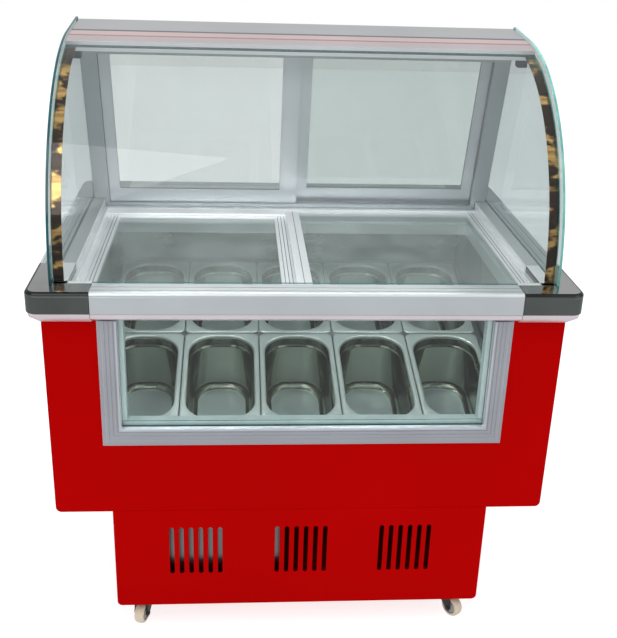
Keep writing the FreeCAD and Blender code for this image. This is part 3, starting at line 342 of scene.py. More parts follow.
# painted shade: a darker copy of the aluminium for the window frame's flutes and most of its face
ALU_SHADED = Metal("aluminium_shade", "satin_aluminium", (0.46, 0.47, 0.51),
                   0.45, Grain.ALONG_Z, metallic=0.7)
# painted light: a bluish copy of the aluminium for the window frame's inner edge and one flute wall
ALU_COOL_PAINTED_LIGHT = Metal("aluminium_cool_painted_light", "satin_aluminium", (0.70, 0.735, 0.79), 0.40, Grain.ALONG_Z, metallic=0.8)
# painted shade: a darker copy of the aluminium for the counter's top faces, which the lamps light more than its
# fronts
RAIL_TOP_SHADED = Metal("aluminium_top_painted_shade", "satin_aluminium", (0.56, 0.58, 0.59), 0.40, Grain.ALONG_X, metallic=0.8)
# dark aluminium for the glass clips; in the counter's and lids' grooves and on the step under the counter's
# face it is painted shade
ALU_DARK = Metal("aluminium_dark_and_groove_shade", "satin_aluminium", (0.10, 0.12, 0.14), 0.4, Grain.ALONG_X)
RED_INLAY = Moulding("red_inlay", "satin_aluminium", (0.25, 0.11, 0.11), 0.4)
CANOPY_GREY = Metal("aluminium_canopy", "satin_aluminium", (0.48, 0.48, 0.485),
                    0.40, Grain.ALONG_X, metallic=0.8)
CANOPY_SHADE = Metal("aluminium_canopy_line", "satin_aluminium", (0.19, 0.185, 0.20),
                     0.42, Grain.ALONG_X, metallic=0.8)
CANOPY_PALE = Metal("aluminium_pale_rose", "satin_aluminium", (0.53, 0.47, 0.48),
                    0.40, Grain.ALONG_X, metallic=0.8)
CANOPY_ROSE = Metal("aluminium_rose", "satin_aluminium", (0.66, 0.52, 0.52),
                    0.40, Grain.ALONG_X, metallic=0.8)
# the pans' steel in three copies: darker olive walls (painted shade), a lighter rim (painted light), a lighter
# bluish floor (painted light)
STEEL = Metal("pan_wall_steel_painted_shade", "polished_stainless", (0.43, 0.455, 0.39), 0.16, Grain.NONE, 0.00002, 0.06)
PAN_RIM_LIT = Metal("pan_rim_steel_painted_light", "polished_stainless", (0.80, 0.86, 0.84),
                0.32, Grain.NONE, 0.00002, 0.04, 0.6)
PAN_FLOOR_LIT = Metal("pan_floor_steel_painted_light", "polished_stainless", (0.60, 0.69, 0.70),
                  0.38, Grain.NONE, 0.00002, 0.06, 0.5)
STEEL_LINER = Metal("liner_steel", "polished_stainless", (0.5, 0.52, 0.52), 0.3, Grain.ALONG_X)
# the caps' mirror steel in three copies: a dark one for the fronts (painted dark reflection), a lighter one for
# the tops (painted light), a near-black one for the rounded edges (painted dark reflection)
CHROME_DARK_REFLECTION = Metal("mirror_steel", "chrome", (0.17, 0.182, 0.175), 0.12, Grain.NONE, 0.00002, 0.12)
CAP_TOP_LIT = Metal("mirror_steel_top_painted_light", "chrome", (0.40, 0.40, 0.39), 0.12, Grain.NONE, 0.00002, 0.12)
CAP_EDGE_BLACK_REFLECTION = Metal("mirror_steel_edge_painted_reflection", "chrome", (0.035, 0.037, 0.036), 0.15, Grain.NONE, 0.00002, 0.12)
CLEAR = Glass("display_glass", "clear_glass", (0.965, 0.975, 0.97))
SIDE_GLASS = Glass("side_glass", "clear_glass", (0.735, 0.77, 0.775), 1.5, 0.05)
DOOR_GLASS = Glass("door_glass", "clear_glass", (0.78, 0.805, 0.80), 1.5, 0.08)
# painted shade: a darker copy of the door glass for the right door
DOOR_GLASS_RIGHT_SHADED = Glass("door_glass_right_painted_shade", "clear_glass", (0.685, 0.725, 0.715), 1.5, 0.08)
LID_GLASS = Glass("lid_glass", "clear_glass", (0.90, 0.94, 0.935), 1.5, 0.09)
GLASS_EDGE = Moulding("glass_edge", "clear_glass", (0.13, 0.36, 0.33), 0.12, 80.0, 0.00002, 0.3)
# painted shade: a darker copy of the green edge for the left side pane
GLASS_EDGE_SHADED = Moulding("glass_edge_painted_shade", "clear_glass", (0.003, 0.06, 0.07), 0.12, 80.0, 0.00002, 0.3)
GLASS_RIM = Moulding("glass_rim", "clear_glass", (0.004, 0.10, 0.11), 0.1, 80.0, 0.00002, 0.2)
GOLD = Gilding("gold_film", "gold_mirror", (0.75, 0.46, 0.15))
FOAM = Moulding("cured_foam", "insulation_foam", (0.66, 0.55, 0.33), 0.85, 260.0, 0.0006)
LAMP = Moulding("lamp_diffuser", "lamp_white", (0.82, 0.84, 0.86), 0.35, 500.0, 0.00002, 0.03, 0.15)
LAMP_DOT = Moulding("lamp_dot", "lamp_white", (0.95, 0.96, 1.0), 0.3, 500.0, 0.00002, 0.02, 2.4)
TREAD = Moulding("tread_rubber", "caster_tread", (0.58, 0.50, 0.38), 0.6, 300.0, 0.0002, 0.12)
HUB = Moulding("wheel_hub", "caster_tread", (0.30, 0.29, 0.27), 0.5, 300.0, 0.0001)
ZINC = Metal("zinc_plate", "zinc_steel", (0.45, 0.46, 0.47), 0.3, Grain.NONE, 0.00004, 0.2)
BLACK_STEEL = Moulding("black_enamel", "black_steel", (0.012, 0.012, 0.013), 0.4, 350.0, 0.0001, 0.4)
COPPER = Metal("copper_tube", "copper", (0.78, 0.34, 0.18), 0.25, Grain.NONE, 0.00003, 0.15)
BLACK = Moulding("black_moulding", "black_plastic", (0.015, 0.015, 0.016), 0.45)
SPACER = Moulding("pane_spacer", "satin_aluminium", (0.50, 0.62, 0.62), 0.35)

SLOT_FINISHES = {
    "red_paint": RED, "satin_aluminium": ALU_X, "polished_stainless": STEEL_LINER, "chrome": CHROME_DARK_REFLECTION,
    "clear_glass": CLEAR, "gold_mirror": GOLD, "insulation_foam": FOAM, "lamp_white": LAMP,
    "caster_tread": TREAD, "zinc_steel": ZINC, "black_steel": BLACK_STEEL, "copper": COPPER,
    "black_plastic": BLACK}


# ---------------------------------------------------------------- mesh making


class Across(Enum):
    """The plane that an outline is drawn on, and the axis that it is drawn out along."""

    X = "yz"
    Y = "xz"
    Z = "xy"

    def point(self, u: float, v: float, run: float) -> Vector:
        """A point from its two outline coordinates and its run along the axis."""
        if self is Across.X:
            return Vector((run, u, v))
        if self is Across.Y:
            return Vector((u, run, v))
        return Vector((u, v, run))


def arc(center: tuple[float, float], radius: float, start: float, end: float,
        steps: int) -> list[tuple[float, float]]:
    """Points on an arc, both ends included.

    Args:
        center: The arc's centre.
        radius: The arc's radius.
        start: The first angle in degrees.
        end: The last angle in degrees.
        steps: How many runs it has.

    Returns:
        The points.
    """
    angles = [math.radians(start + (end - start) * step / steps) for step in range(steps + 1)]
    return [(center[0] + radius * math.cos(a), center[1] + radius * math.sin(a)) for a in angles]


def rounded_ring(half_x: float, half_y: float, radius: float, height: float, steps: int = 8) -> Ring:
    """A level ring in the shape of a rectangle with round corners.

    Args:
        half_x: Half the width.
        half_y: Half the depth.
        radius: The corner radius.
        height: The ring's height.
        steps: Runs in each corner.

    Returns:
        The ring's points, anticlockwise from above.
    """
    corners = ((1, 1, 0), (-1, 1, 90), (-1, -1, 180), (1, -1, 270))
    ring = []
    for sign_x, sign_y, start in corners:
        center = (sign_x * (half_x - radius), sign_y * (half_y - radius))
        ring += [Vector((x, y, height)) for x, y in arc(center, radius, start, start + 90, steps)]
    return ring


def ribbed_top(width: float, height: float, ribs: int, depth: float,
               gap: float = 0.0012) -> list[tuple[float, float]]:
    """A bar's section with long grooves in its top face.

    Args:
        width: The bar's width.
        height: The bar's height.
        ribs: How many ribs stand between the grooves.
        depth: How deep the grooves are.
        gap: The grooves' width.

    Returns:
        The section, anticlockwise from its lower left corner.
    """
    outline = [(0.0, 0.0), (width, 0.0), (width, height)]
    for number in range(ribs - 1, 0, -1):
        middle = width * number / ribs
        outline += [(middle + gap / 2, height), (middle + gap / 4, height - depth),
                    (middle - gap / 4, height - depth), (middle - gap / 2, height)]
    return [*outline, (0.0, height)]


class Solid:
    """A piece under construction: closed shells whose faces carry the number of a finish."""

    def __init__(self, name: str, finishes: Sequence[Finish]) -> None:
        """Start an empty piece.

        Args:
            name: The piece's name.
            finishes: Its finishes, by number.
        """
        self.name = name
        self.finishes = finishes
        self.mesh = bmesh.new()

    def skin(self, rings: Sequence[Ring], finish: int | Sequence[int] = 0, closed: bool = False) -> "Solid":
        """Join rings of equal length into a shell.

        Args:
            rings: The rings, in order.
            finish: One number, or one for each side of a ring.
            closed: Whether the last ring joins the first; otherwise the two ends are filled.

        Returns:
            This solid.
        """
        rows = [[self.mesh.verts.new(point) for point in ring] for ring in rings]
        count = len(rows[0])
        pairs = list(zip(rows, rows[1:])) + ([(rows[-1], rows[0])] if closed else [])
        for low, high in pairs:
            for side in range(count):
                after = (side + 1) % count
                face = self.mesh.faces.new((low[side], low[after], high[after], high[side]))
                face.material_index = finish if isinstance(finish, int) else finish[side]
        if not closed:
            for row in (list(reversed(rows[0])), rows[-1]):
                face = self.mesh.faces.new(row)
                face.material_index = finish if isinstance(finish, int) else finish[0]
        return self

    def prism(self, outline: Outline, across: Across, start: float, end: float,
              finish: int | Sequence[int] = 0) -> "Solid":
        """Draw an outline out along an axis.

        Args:
            outline: The outline on the plane across the axis.
            across: The axis.
            start: Where it starts.
            end: Where it ends.
            finish: One number, or one for each side of the outline.

        Returns:
            This solid.
        """
        return self.skin([[across.point(u, v, run) for u, v in outline] for run in (start, end)], finish)

    def block(self, low: Sequence[float], high: Sequence[float], finish: int = 0) -> "Solid":
        """A block between two corners."""
        outline = [(low[0], low[1]), (high[0], low[1]), (high[0], high[1]), (low[0], high[1])]
        return self.prism(outline, Across.Z, low[2], high[2], finish)

    def lathe(self, profile: Outline, at: Vector, axis: Vector, sides: int = 32,
              finish: Sequence[int] | int = 0) -> "Solid":
        """Turn a profile about an axis.

        Args:
            profile: Pairs of radius and run along the axis; it starts and ends on or near the axis.
            at: Where the run starts.
            axis: The axis's direction.
            sides: How many sides the turning has.
            finish: One number, or one for each step of the profile.

        Returns:
            This solid.
        """
        turn = axis.normalized().to_track_quat("Z", "Y")
        spokes = [(math.cos(angle), math.sin(angle))
                  for angle in (math.tau * side / sides for side in range(sides))]
        rings = [[at + turn @ Vector((radius * across, radius * up, run)) for across, up in spokes]
                 for radius, run in profile]
        first = len(self.mesh.faces)
        self.skin(rings)
        self.mesh.faces.ensure_lookup_table()
        if not isinstance(finish, int):
            for number, face in enumerate(self.mesh.faces[first:-2]):
                face.material_index = finish[number // sides]
            self.mesh.faces[-2].material_index = finish[0]
            self.mesh.faces[-1].material_index = finish[-1]
        else:
            for face in self.mesh.faces[first:]:
                face.material_index = finish
        return self

    def moved(self, matrix: Matrix) -> "Solid":
        """Turn or move everything made so far."""
        bmesh.ops.transform(self.mesh, matrix=matrix, verts=self.mesh.verts)
        return self

    def mirrored(self) -> "Solid":
        """Add the mirror image across the cabinet's middle plane."""
        made = bmesh.ops.duplicate(self.mesh, geom=self.mesh.verts[:] + self.mesh.edges[:] + self.mesh.faces[:])
        verts = [item for item in made["geom"] if isinstance(item, bmesh.types.BMVert)]
        for vert in verts:
            vert.co.x = -vert.co.x
        return self

    def finish(self, edge: float = 0.0, segments: int = 2, angle: float = 40.0) -> bpy.types.Object:
        """Close the shells, soften their edges and make the object.

        Args:
            edge: The softened edges' width, or 0 for none.
            segments: Runs in each softened edge.
            angle: Edges sharper than this, in degrees, are softened.

        Returns:
            The finished object, at the origin.
        """
        bmesh.ops.remove_doubles(self.mesh, verts=self.mesh.verts, dist=MERGE)
        bmesh.ops.dissolve_degenerate(self.mesh, edges=self.mesh.edges, dist=MERGE)
        bmesh.ops.recalc_face_normals(self.mesh, faces=self.mesh.faces)
        return dressed(self.name, self.mesh, self.finishes, edge, segments, angle)


def dressed(name: str, mesh: bmesh.types.BMesh, finishes: Sequence[Finish], edge: float,
            segments: int, angle: float) -> bpy.types.Object:
    """Make an object of a closed mesh, with softened edges and smooth shading.

    Args:
        name: The object's name.
        mesh: The closed mesh; it is freed.
        finishes: The finishes, by number.
        edge: The softened edges' width.
        segments: Runs in each softened edge.
        angle: Edges sharper than this, in degrees, are softened.

    Returns:
        The object.
    """
    for face in mesh.faces:
        face.smooth = True
    data = bpy.data.meshes.new(name)
    mesh.to_mesh(data)
    mesh.free()
    data.set_sharp_from_angle(angle=math.radians(angle))
    for finish in finishes:
        data.materials.append(finish.material())
    thing = bpy.data.objects.new(name, data)
    bpy.context.scene.collection.objects.link(thing)
    if edge:
        modifier = thing.modifiers.new("soft_edges", "BEVEL")
        modifier.width = edge
        modifier.segments = segments
        modifier.limit_method = "ANGLE"
        modifier.angle_limit = math.radians(angle)
        modifier.harden_normals = True
        modifier.use_clamp_overlap = True
        settle(thing)
    return thing


def settle(thing: bpy.types.Object) -> bpy.types.Object:
    """Turn an object's modifiers into plain mesh."""
    bpy.context.view_layer.update()
    evaluated = thing.evaluated_get(bpy.context.evaluated_depsgraph_get())
    result = bpy.data.meshes.new_from_object(evaluated, preserve_all_data_layers=True,
                                             depsgraph=bpy.context.evaluated_depsgraph_get())
    thing.modifiers.clear()
    thing.data = result
    return thing


def mount(thing: bpy.types.Object, body: str, slot: str, *nodes: str) -> bpy.types.Object:
    """Ride a finished piece on its body, and hide the CAD nodes that it stands for.

    Args:
        thing: The piece.
        body: The body's name.
        slot: Not used.
        nodes: The CAD nodes that it stands for.

    Returns:
        The piece.
    """
    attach(thing, body)
    if nodes:
        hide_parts(*nodes)
    LOG.info("%s: %d faces on %s", thing.name, len(thing.data.polygons), body)
    return thing


def softened(node: str, finishes: Sequence[Finish], edge: float = 0.0006, segments: int = 2,
             choose: Callable[[bmesh.types.BMFace], int] | None = None) -> bpy.types.Object:
    """A copy of a CAD node with its facets joined, its edges eased and its finishes laid on.

    Args:
        node: The CAD node's name.
        finishes: The finishes, by number.
        edge: The eased edges' width.
        segments: Runs in each eased edge.
        choose: Gives a face its finish's number.

    Returns:
        The piece, riding on the node's body.
    """
    mesh = bmesh.new()
    mesh.from_mesh(frame["nodes"][node].data)
    bmesh.ops.remove_doubles(mesh, verts=mesh.verts, dist=MERGE * 5)
    bmesh.ops.dissolve_limit(mesh, angle_limit=math.radians(0.4), verts=mesh.verts, edges=mesh.edges)
    for face in mesh.faces:
        face.material_index = choose(face) if choose else 0
    thing = dressed(f"{node}_eased", mesh, finishes, edge, segments, 32.0)
    return mount(thing, body_of(node), finishes[0].slot, node)


def body_of(node: str) -> str:
    """The name of the body that a CAD node rides on."""
    return frame["nodes"][node]["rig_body"]


def middle(node: str) -> Vector:
    """The middle of a CAD node's box."""
    low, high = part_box(node)
    return (low + high) / 2


# ---------------------------------------------------------------- geometry nodes


class Pattern:
    """A Geometry Nodes tree that sets a small piece out in rows, and turns each one at random."""

    def __init__(self) -> None:
        """Build the tree once."""
        self.tree = bpy.data.node_groups.new("rows_of_pieces", "GeometryNodeTree")
        face = self.tree.interface
        face.new_socket("Geometry", in_out="INPUT", socket_type="NodeSocketGeometry")
        for name, kind in (("Piece", "Object"), ("Start", "Vector"), ("Row Count", "Int"),
                           ("Row Step", "Vector"), ("Column Count", "Int"), ("Column Step", "Vector"),
                           ("Turn", "Vector"), ("Finish", "Material")):
            face.new_socket(name, in_out="INPUT", socket_type=f"NodeSocket{kind}")
        face.new_socket("Geometry", in_out="OUTPUT", socket_type="NodeSocketGeometry")
        given = self.tree.nodes.new("NodeGroupInput").outputs
        rows = self.node("MeshLine", {"Count": given["Row Count"], "Start Location": given["Start"],
                                      "Offset": given["Row Step"]})
        columns = self.node("MeshLine", {"Count": given["Column Count"], "Offset": given["Column Step"]})
        spread = self.node("InstanceOnPoints", {"Points": rows.outputs[0], "Instance": columns.outputs[0]})
        points = self.node("RealizeInstances", {0: spread.outputs[0]})
        piece = self.node("ObjectInfo", {"Object": given["Piece"]})
        chance = self.node("RandomValueFunction", {"Seed": 7})
        turn = self.node("VectorMathShader", {0: given["Turn"], "Scale": chance.outputs[1]}, operation="SCALE")
        placed = self.node("InstanceOnPoints", {
            "Points": points.outputs[0], "Instance": piece.outputs["Geometry"], "Rotation": turn.outputs[0]})
        real = self.node("RealizeInstances", {0: placed.outputs[0]})
        coated = self.node("SetMaterial", {"Geometry": real.outputs[0], "Material": given["Finish"]})
        out = self.tree.nodes.new("NodeGroupOutput")
        self.tree.links.new(coated.outputs[0], out.inputs[0])

    def node(self, kind: str, sockets: dict, **settings: object) -> bpy.types.Node:
        """Add a node to the tree.

        Args:
            kind: The node's kind; a name that ends in Shader or Function is one of theirs.
            sockets: Input name or number to a value or another node's output.
            settings: The node's own settings.

        Returns:
            The node.
        """
        names = {"MeshLine": "GeometryNodeMeshLine", "VectorMathShader": "ShaderNodeVectorMath",
                 "RandomValueFunction": "FunctionNodeRandomValue"}
        made = self.tree.nodes.new(names.get(kind, f"GeometryNode{kind}"))
        for name, setting in settings.items():
            setattr(made, name, setting)
        if kind == "MeshLine":
            made.mode = "OFFSET"
        for name, given in sockets.items():
            if isinstance(given, bpy.types.NodeSocket):
                self.tree.links.new(given, made.inputs[name])
            else:
                made.inputs[name].default_value = given
        return made

    def lay(self, name: str, piece: bpy.types.Object, finish: Finish, start: Vector, rows: tuple[int, Vector],
            columns: tuple[int, Vector], turn: Vector = Vector((0, 0, 0))) -> bpy.types.Object:
        """Set a piece out in rows and columns as one plain mesh.

        Args:
            name: The result's name.
            piece: The piece to repeat; it is used up.
            finish: The result's finish.
            start: The first place.
            rows: How many rows, and the step between them.
            columns: How many columns, and the step between them.
            turn: The axis of the random turn, times its largest angle.

        Returns:
            The result, at the origin.
        """
        host = bpy.data.objects.new(name, bpy.data.meshes.new(f"{name}_host"))
        bpy.context.scene.collection.objects.link(host)
        modifier = host.modifiers.new("rows", "NODES")
        modifier.node_group = self.tree
        inputs = {"Piece": piece, "Start": start, "Row Count": rows[0], "Row Step": rows[1],
                  "Column Count": columns[0], "Column Step": columns[1], "Turn": turn,
                  "Finish": finish.material()}
        for item in self.tree.interface.items_tree:
            if item.name in inputs:
                modifier[item.identifier] = inputs[item.name]
        settle(host)
        for face in host.data.polygons:
            face.use_smooth = True
        host.data.set_sharp_from_angle(angle=math.radians(35))
        bpy.data.objects.remove(piece)
        return host


# ---------------------------------------------------------------- sub-assemblies


@dataclass
class PaintedBody:
    """The painted upper body and base, with their grilles, louvre hoods and rivets."""

    edge: float = 0.0009
    hood_reach: float = 0.006
    hood_thickness: float = 0.0012
    louvre_rows: int = 9
    louvre_columns: int = 3
    louvre_width: float = 0.180
    louvre_pitch: float = 0.020
    louvre_slot: float = 0.007
    rivet_radius: float = 0.0035
    rivet_inset: float = 0.016

    def build(self, pattern: Pattern) -> None:
        """Build and dress every piece.

        Args:
            pattern: Sets out the rivets and hoods.
        """
        for node in ("body_shell", "front_panel", "rear_panel", "base_shell", "base_front_grille",
                     "base_rear_grille"):
            softened(node, [RED], self.edge)
        self.rivets(pattern)
        self.hoods(pattern)

    def hoods(self, pattern: Pattern) -> None:
        """A pressed lip over each louvre slot of the rear grille."""
        base_low, base_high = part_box("base_shell")
        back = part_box("base_rear_grille")[1].y
        seed = Solid("hood_seed", [RED])
        reach, thick, slot = self.hood_reach, self.hood_thickness, self.louvre_slot
        outline = [(-0.0002, slot + 0.0030), (reach * 0.45, slot + 0.0018), (reach, slot * 0.45),
                   (reach - thick * 0.4, slot * 0.45 - thick * 0.5), (reach * 0.35, slot + 0.0004),
                   (-0.0002, slot)]
        seed.prism(outline, Across.X, 0.0, self.louvre_width)
        start = Vector((-base_high.x + 2 * self.louvre_pitch, back, base_low.z + self.louvre_pitch))
        hoods = pattern.lay("rear_louvre_hoods", seed.finish(), RED, start,
                            (self.louvre_rows, Vector((0, 0, self.louvre_pitch))),
                            (self.louvre_columns, Vector((self.louvre_width + self.louvre_pitch, 0, 0))))
        mount(hoods, "cabinet", RED.slot)

    def rivets(self, pattern: Pattern) -> None:
        """Rivets along the rear panel's two upright edges."""
        low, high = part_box("rear_panel")
        seed = Solid("rivet_seed", [ZINC])
        r = self.rivet_radius
        seed.lathe([(r * 0.2, 0.0), (r, 0.0), (r * 0.95, r * 0.3), (r * 0.6, r * 0.62), (r * 0.2, r * 0.7)],
                   Vector(), Vector((0, 1, 0)), 14)
        start = Vector((low.x + self.rivet_inset * 2, high.y, low.z + self.rivet_inset * 2))
        step_z = (high.z - low.z - self.rivet_inset * 4) / 4
        step_x = (high.x - low.x - self.rivet_inset * 4)
        rivets = pattern.lay("rear_panel_rivets", seed.finish(), ZINC, start, (5, Vector((0, 0, step_z))),
                             (2, Vector((step_x, 0, 0))))
        mount(rivets, "cabinet", ZINC.slot)


@dataclass
class Counter:
    """The aluminium counter edge with its polished corner caps."""

    edge_radius: float = 0.007
    groove: float = 0.0008
    groove_starts: tuple[float, ...] = (0.016, 0.034)
    lip_top: float = 0.0022
    cap_corner: float = 0.025
    plate_sheet: float = 0.0004
    plate_inset: float = 0.010
    joint: float = 0.0004

    def section(self, wall: float, inner: float) -> tuple[list[tuple[float, float]], list[int]]:
        """The counter edge's section, from the inner lower corner round the outside.

        Args:
            wall: How far the cabinet's wall stands in from the outer face.
            inner: How far the section's inner side stands in from the outer face.

        Returns:
            Pairs of inset and height, and each side's finish: 0 face, 1 lip (a lighter pinkish copy, painted
            light), 2 groove and the step under the face (dark, painted shade), 3 top (a darker copy, painted
            shade).
        """
        low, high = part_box("front_rail")
        bottom, top, lip = low.z, high.z, low.z + 0.014
        r = self.edge_radius
        points = [(inner, bottom), (wall, bottom), (0.004, lip + 0.0005), (self.lip_top, lip + 0.0100),
                  (0.0, lip + 0.0112), (0.0, top - r - 0.0015), (0.0006, top - r - 0.001), (0.0, top - r)]
        # the lip takes the lighter pinkish copy (painted light); the step under the face is dark (painted
        # shade)
        finish = [0, 1, 1, 2, 0, 0, 0]
        rounds = arc((r, top - r), r, 180, 90, 6)[1:]
        points += rounds
        finish += [0] * len(rounds)
        for start in self.groove_starts:
            if start + 0.003 < inner - 0.015:
                points += [(start, top), (start + 0.0004, top - self.groove),
                           (start + 0.0012, top - self.groove), (start + 0.0016, top)]
                finish += [3, 2, 2, 2]
        points.append((inner, top))
        return points, [*finish, 3, 0]

    def build(self) -> None:
        """Build and dress every piece."""
        self.straight("front_rail", Across.X, -1.0, 0.032, ALU_X)
        self.rear()
        self.sides()
        self.caps()

    def straight(self, node: str, across: Across, side: float, wall: float, finish: Finish) -> None:
        """One straight run of the counter edge.

        Args:
            node: The CAD node that it stands for.
            across: The axis that it runs along.
            side: The sign of the side it lies on.
            wall: How far the wall stands in from its face.
            finish: The metal's finish.
        """
        low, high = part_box(node)
        face = low.y if side < 0 else high.y
        points, numbers = self.section(wall, high.y - low.y)
        outline = [(face - side * inset, height) for inset, height in points]
        rail = Solid(f"{node}_extrusion", [finish, ALU_PINK_PAINTED_LIGHT, ALU_DARK, RAIL_TOP_SHADED])
        rail.prism(outline, across, low.x + self.joint, high.x - self.joint, numbers)
        mount(rail.finish(0.0004), "cabinet", finish.slot, node)

    def rear(self) -> None:
        """The rear run, with the low deck that carries the leaning frame."""
        low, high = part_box("rear_rail")
        frame_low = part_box("rear_frame")[0]
        deck_top = frame_low.z
        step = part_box("side_glasses")[1].y + 0.002
        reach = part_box("front_rail")[1].x
        points, numbers = self.section(0.032, high.y - step)
        rail = Solid("rear_rail_extrusion", [ALU_X, ALU_PINK_PAINTED_LIGHT, ALU_DARK, RAIL_TOP_SHADED])
        rail.prism([(high.y - inset, height) for inset, height in points], Across.X,
                   -reach + self.joint, reach - self.joint, numbers)
        deck = [(low.y, low.z), (step, low.z), (step, deck_top)]
        for start in (0.034, 0.018, 0.006):
            deck += [(low.y + start + 0.0016, deck_top), (low.y + start + 0.0012, deck_top - self.groove),
                     (low.y + start + 0.0004, deck_top - self.groove), (low.y + start, deck_top)]
        deck.append((low.y, deck_top))
        rail.prism(deck, Across.X, low.x + self.joint, high.x - self.joint)
        mount(rail.finish(0.0004), "cabinet", ALU_X.slot, "rear_rail")

    def sides(self) -> None:
        """The two side runs."""
        low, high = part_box("side_rails")
        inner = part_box("lid_track_frame")[1].x
        points, numbers = self.section(0.025, high.x - inner)
        rail = Solid("side_rail_extrusions", [ALU_Y, ALU_PINK_PAINTED_LIGHT, ALU_DARK, RAIL_TOP_SHADED])
        rail.prism([(high.x - inset, height) for inset, height in points], Across.Y,
                   low.y + self.joint, high.y - self.joint, numbers)
        rail.mirrored()
        mount(rail.finish(0.0004), "cabinet", ALU_Y.slot, "side_rails")

    def caps(self) -> None:
        """The four L-shaped corner caps."""
        low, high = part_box("corner_caps")
        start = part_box("front_rail")[1].x + self.joint
        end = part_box("side_rails")[1].y + self.joint
        inner_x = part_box("lid_track_frame")[1].x
        wall = high.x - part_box("body_shell")[1].x
        caps = Solid("corner_caps_pressed", [CHROME_DARK_REFLECTION, CAP_TOP_LIT, CAP_EDGE_BLACK_REFLECTION, ALU_PINK_PAINTED_LIGHT])
        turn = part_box("lid_track_frame")[0].y
        rear_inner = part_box("side_glasses")[1].y + 0.002
        self.cap(caps, -1, Vector((high.x, -low.y)), Vector((inner_x, -turn)), start, end, wall)
        self.cap(caps, 1, Vector((high.x, high.y)), Vector((inner_x, rear_inner)), start, end, wall)
        caps.mirrored()
        mount(caps.finish(0.0003, angle=50.0), "cabinet", CHROME_DARK_REFLECTION.slot, "corner_caps")
        plates = Solid("corner_plates", [ALU_BRIGHT_AND_PAINTED_LIGHT])
        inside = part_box("curved_front_glass")[1].x
        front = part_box("curved_front_glass")[0].y + self.plate_inset
        plate_top = high.z + self.plate_sheet
        plates.block((start, front, high.z), (inside, turn, plate_top))
        plates.block((inner_x, turn, high.z), (inside, -end, plate_top))
        plates.mirrored()
        mount(plates.finish(), "cabinet", ALU_BRIGHT_AND_PAINTED_LIGHT.slot)

    def cap(self, caps: Solid, sign: int, outer: Vector, inner: Vector, start: float, end: float,
            wall: float) -> None:
        """Stack one cap from L-shaped rings, each set in from the outer corner by the section's inset.

        Args:
            caps: The solid to add to.
            sign: -1 for a cap on the customer's side, 1 for the server's side.
            outer: The outer corner, with depth counted outwards.
            inner: The inner corner, counted the same way.
            start: Where the cap starts along x.
            end: Where the cap ends along y, counted outwards.
            wall: How far the cabinet's wall stands in from the outer face.
        """
        points = self.section(wall, self.cap_corner)[0]
        first = len(caps.mesh.faces)
        rings = []
        for inset, height in points[1:-1]:
            if inset > self.cap_corner - 0.001 and height > points[1][1]:
                continue
            radius = max(self.cap_corner - inset, 0.0006)
            hub = outer - Vector((inset + radius, inset + radius))
            ring = [(start, outer.y - inset)]
            ring += [(hub.x + radius * math.sin(a), hub.y + radius * math.cos(a))
                     for a in (math.radians(9 * step) for step in range(11))]
            ring += [(outer.x - inset, end), (inner.x, end), (inner.x, inner.y), (start, inner.y)]
            rings.append([Vector((x, sign * y, height)) for x, y in ring])
        caps.skin(rings)
        caps.mesh.faces.ensure_lookup_table()
        # lit and shaded copies of the mirror steel: 1 the lighter top (painted light), 2 the near-black rounded
        # edge (painted dark reflection), 3 the pinkish lip (painted light); the rest keep the dark front copy
        # (painted dark reflection)
        for face in caps.mesh.faces[first:]:
            face.normal_update()
            middle_z = face.calc_center_median().z
            if middle_z > rings[-1][0].z - 0.0001:
                face.material_index = 1
            elif middle_z > rings[-1][0].z - self.edge_radius * 0.75:
                face.material_index = 2
            elif middle_z < rings[2][0].z + 0.0001:
                face.material_index = 3


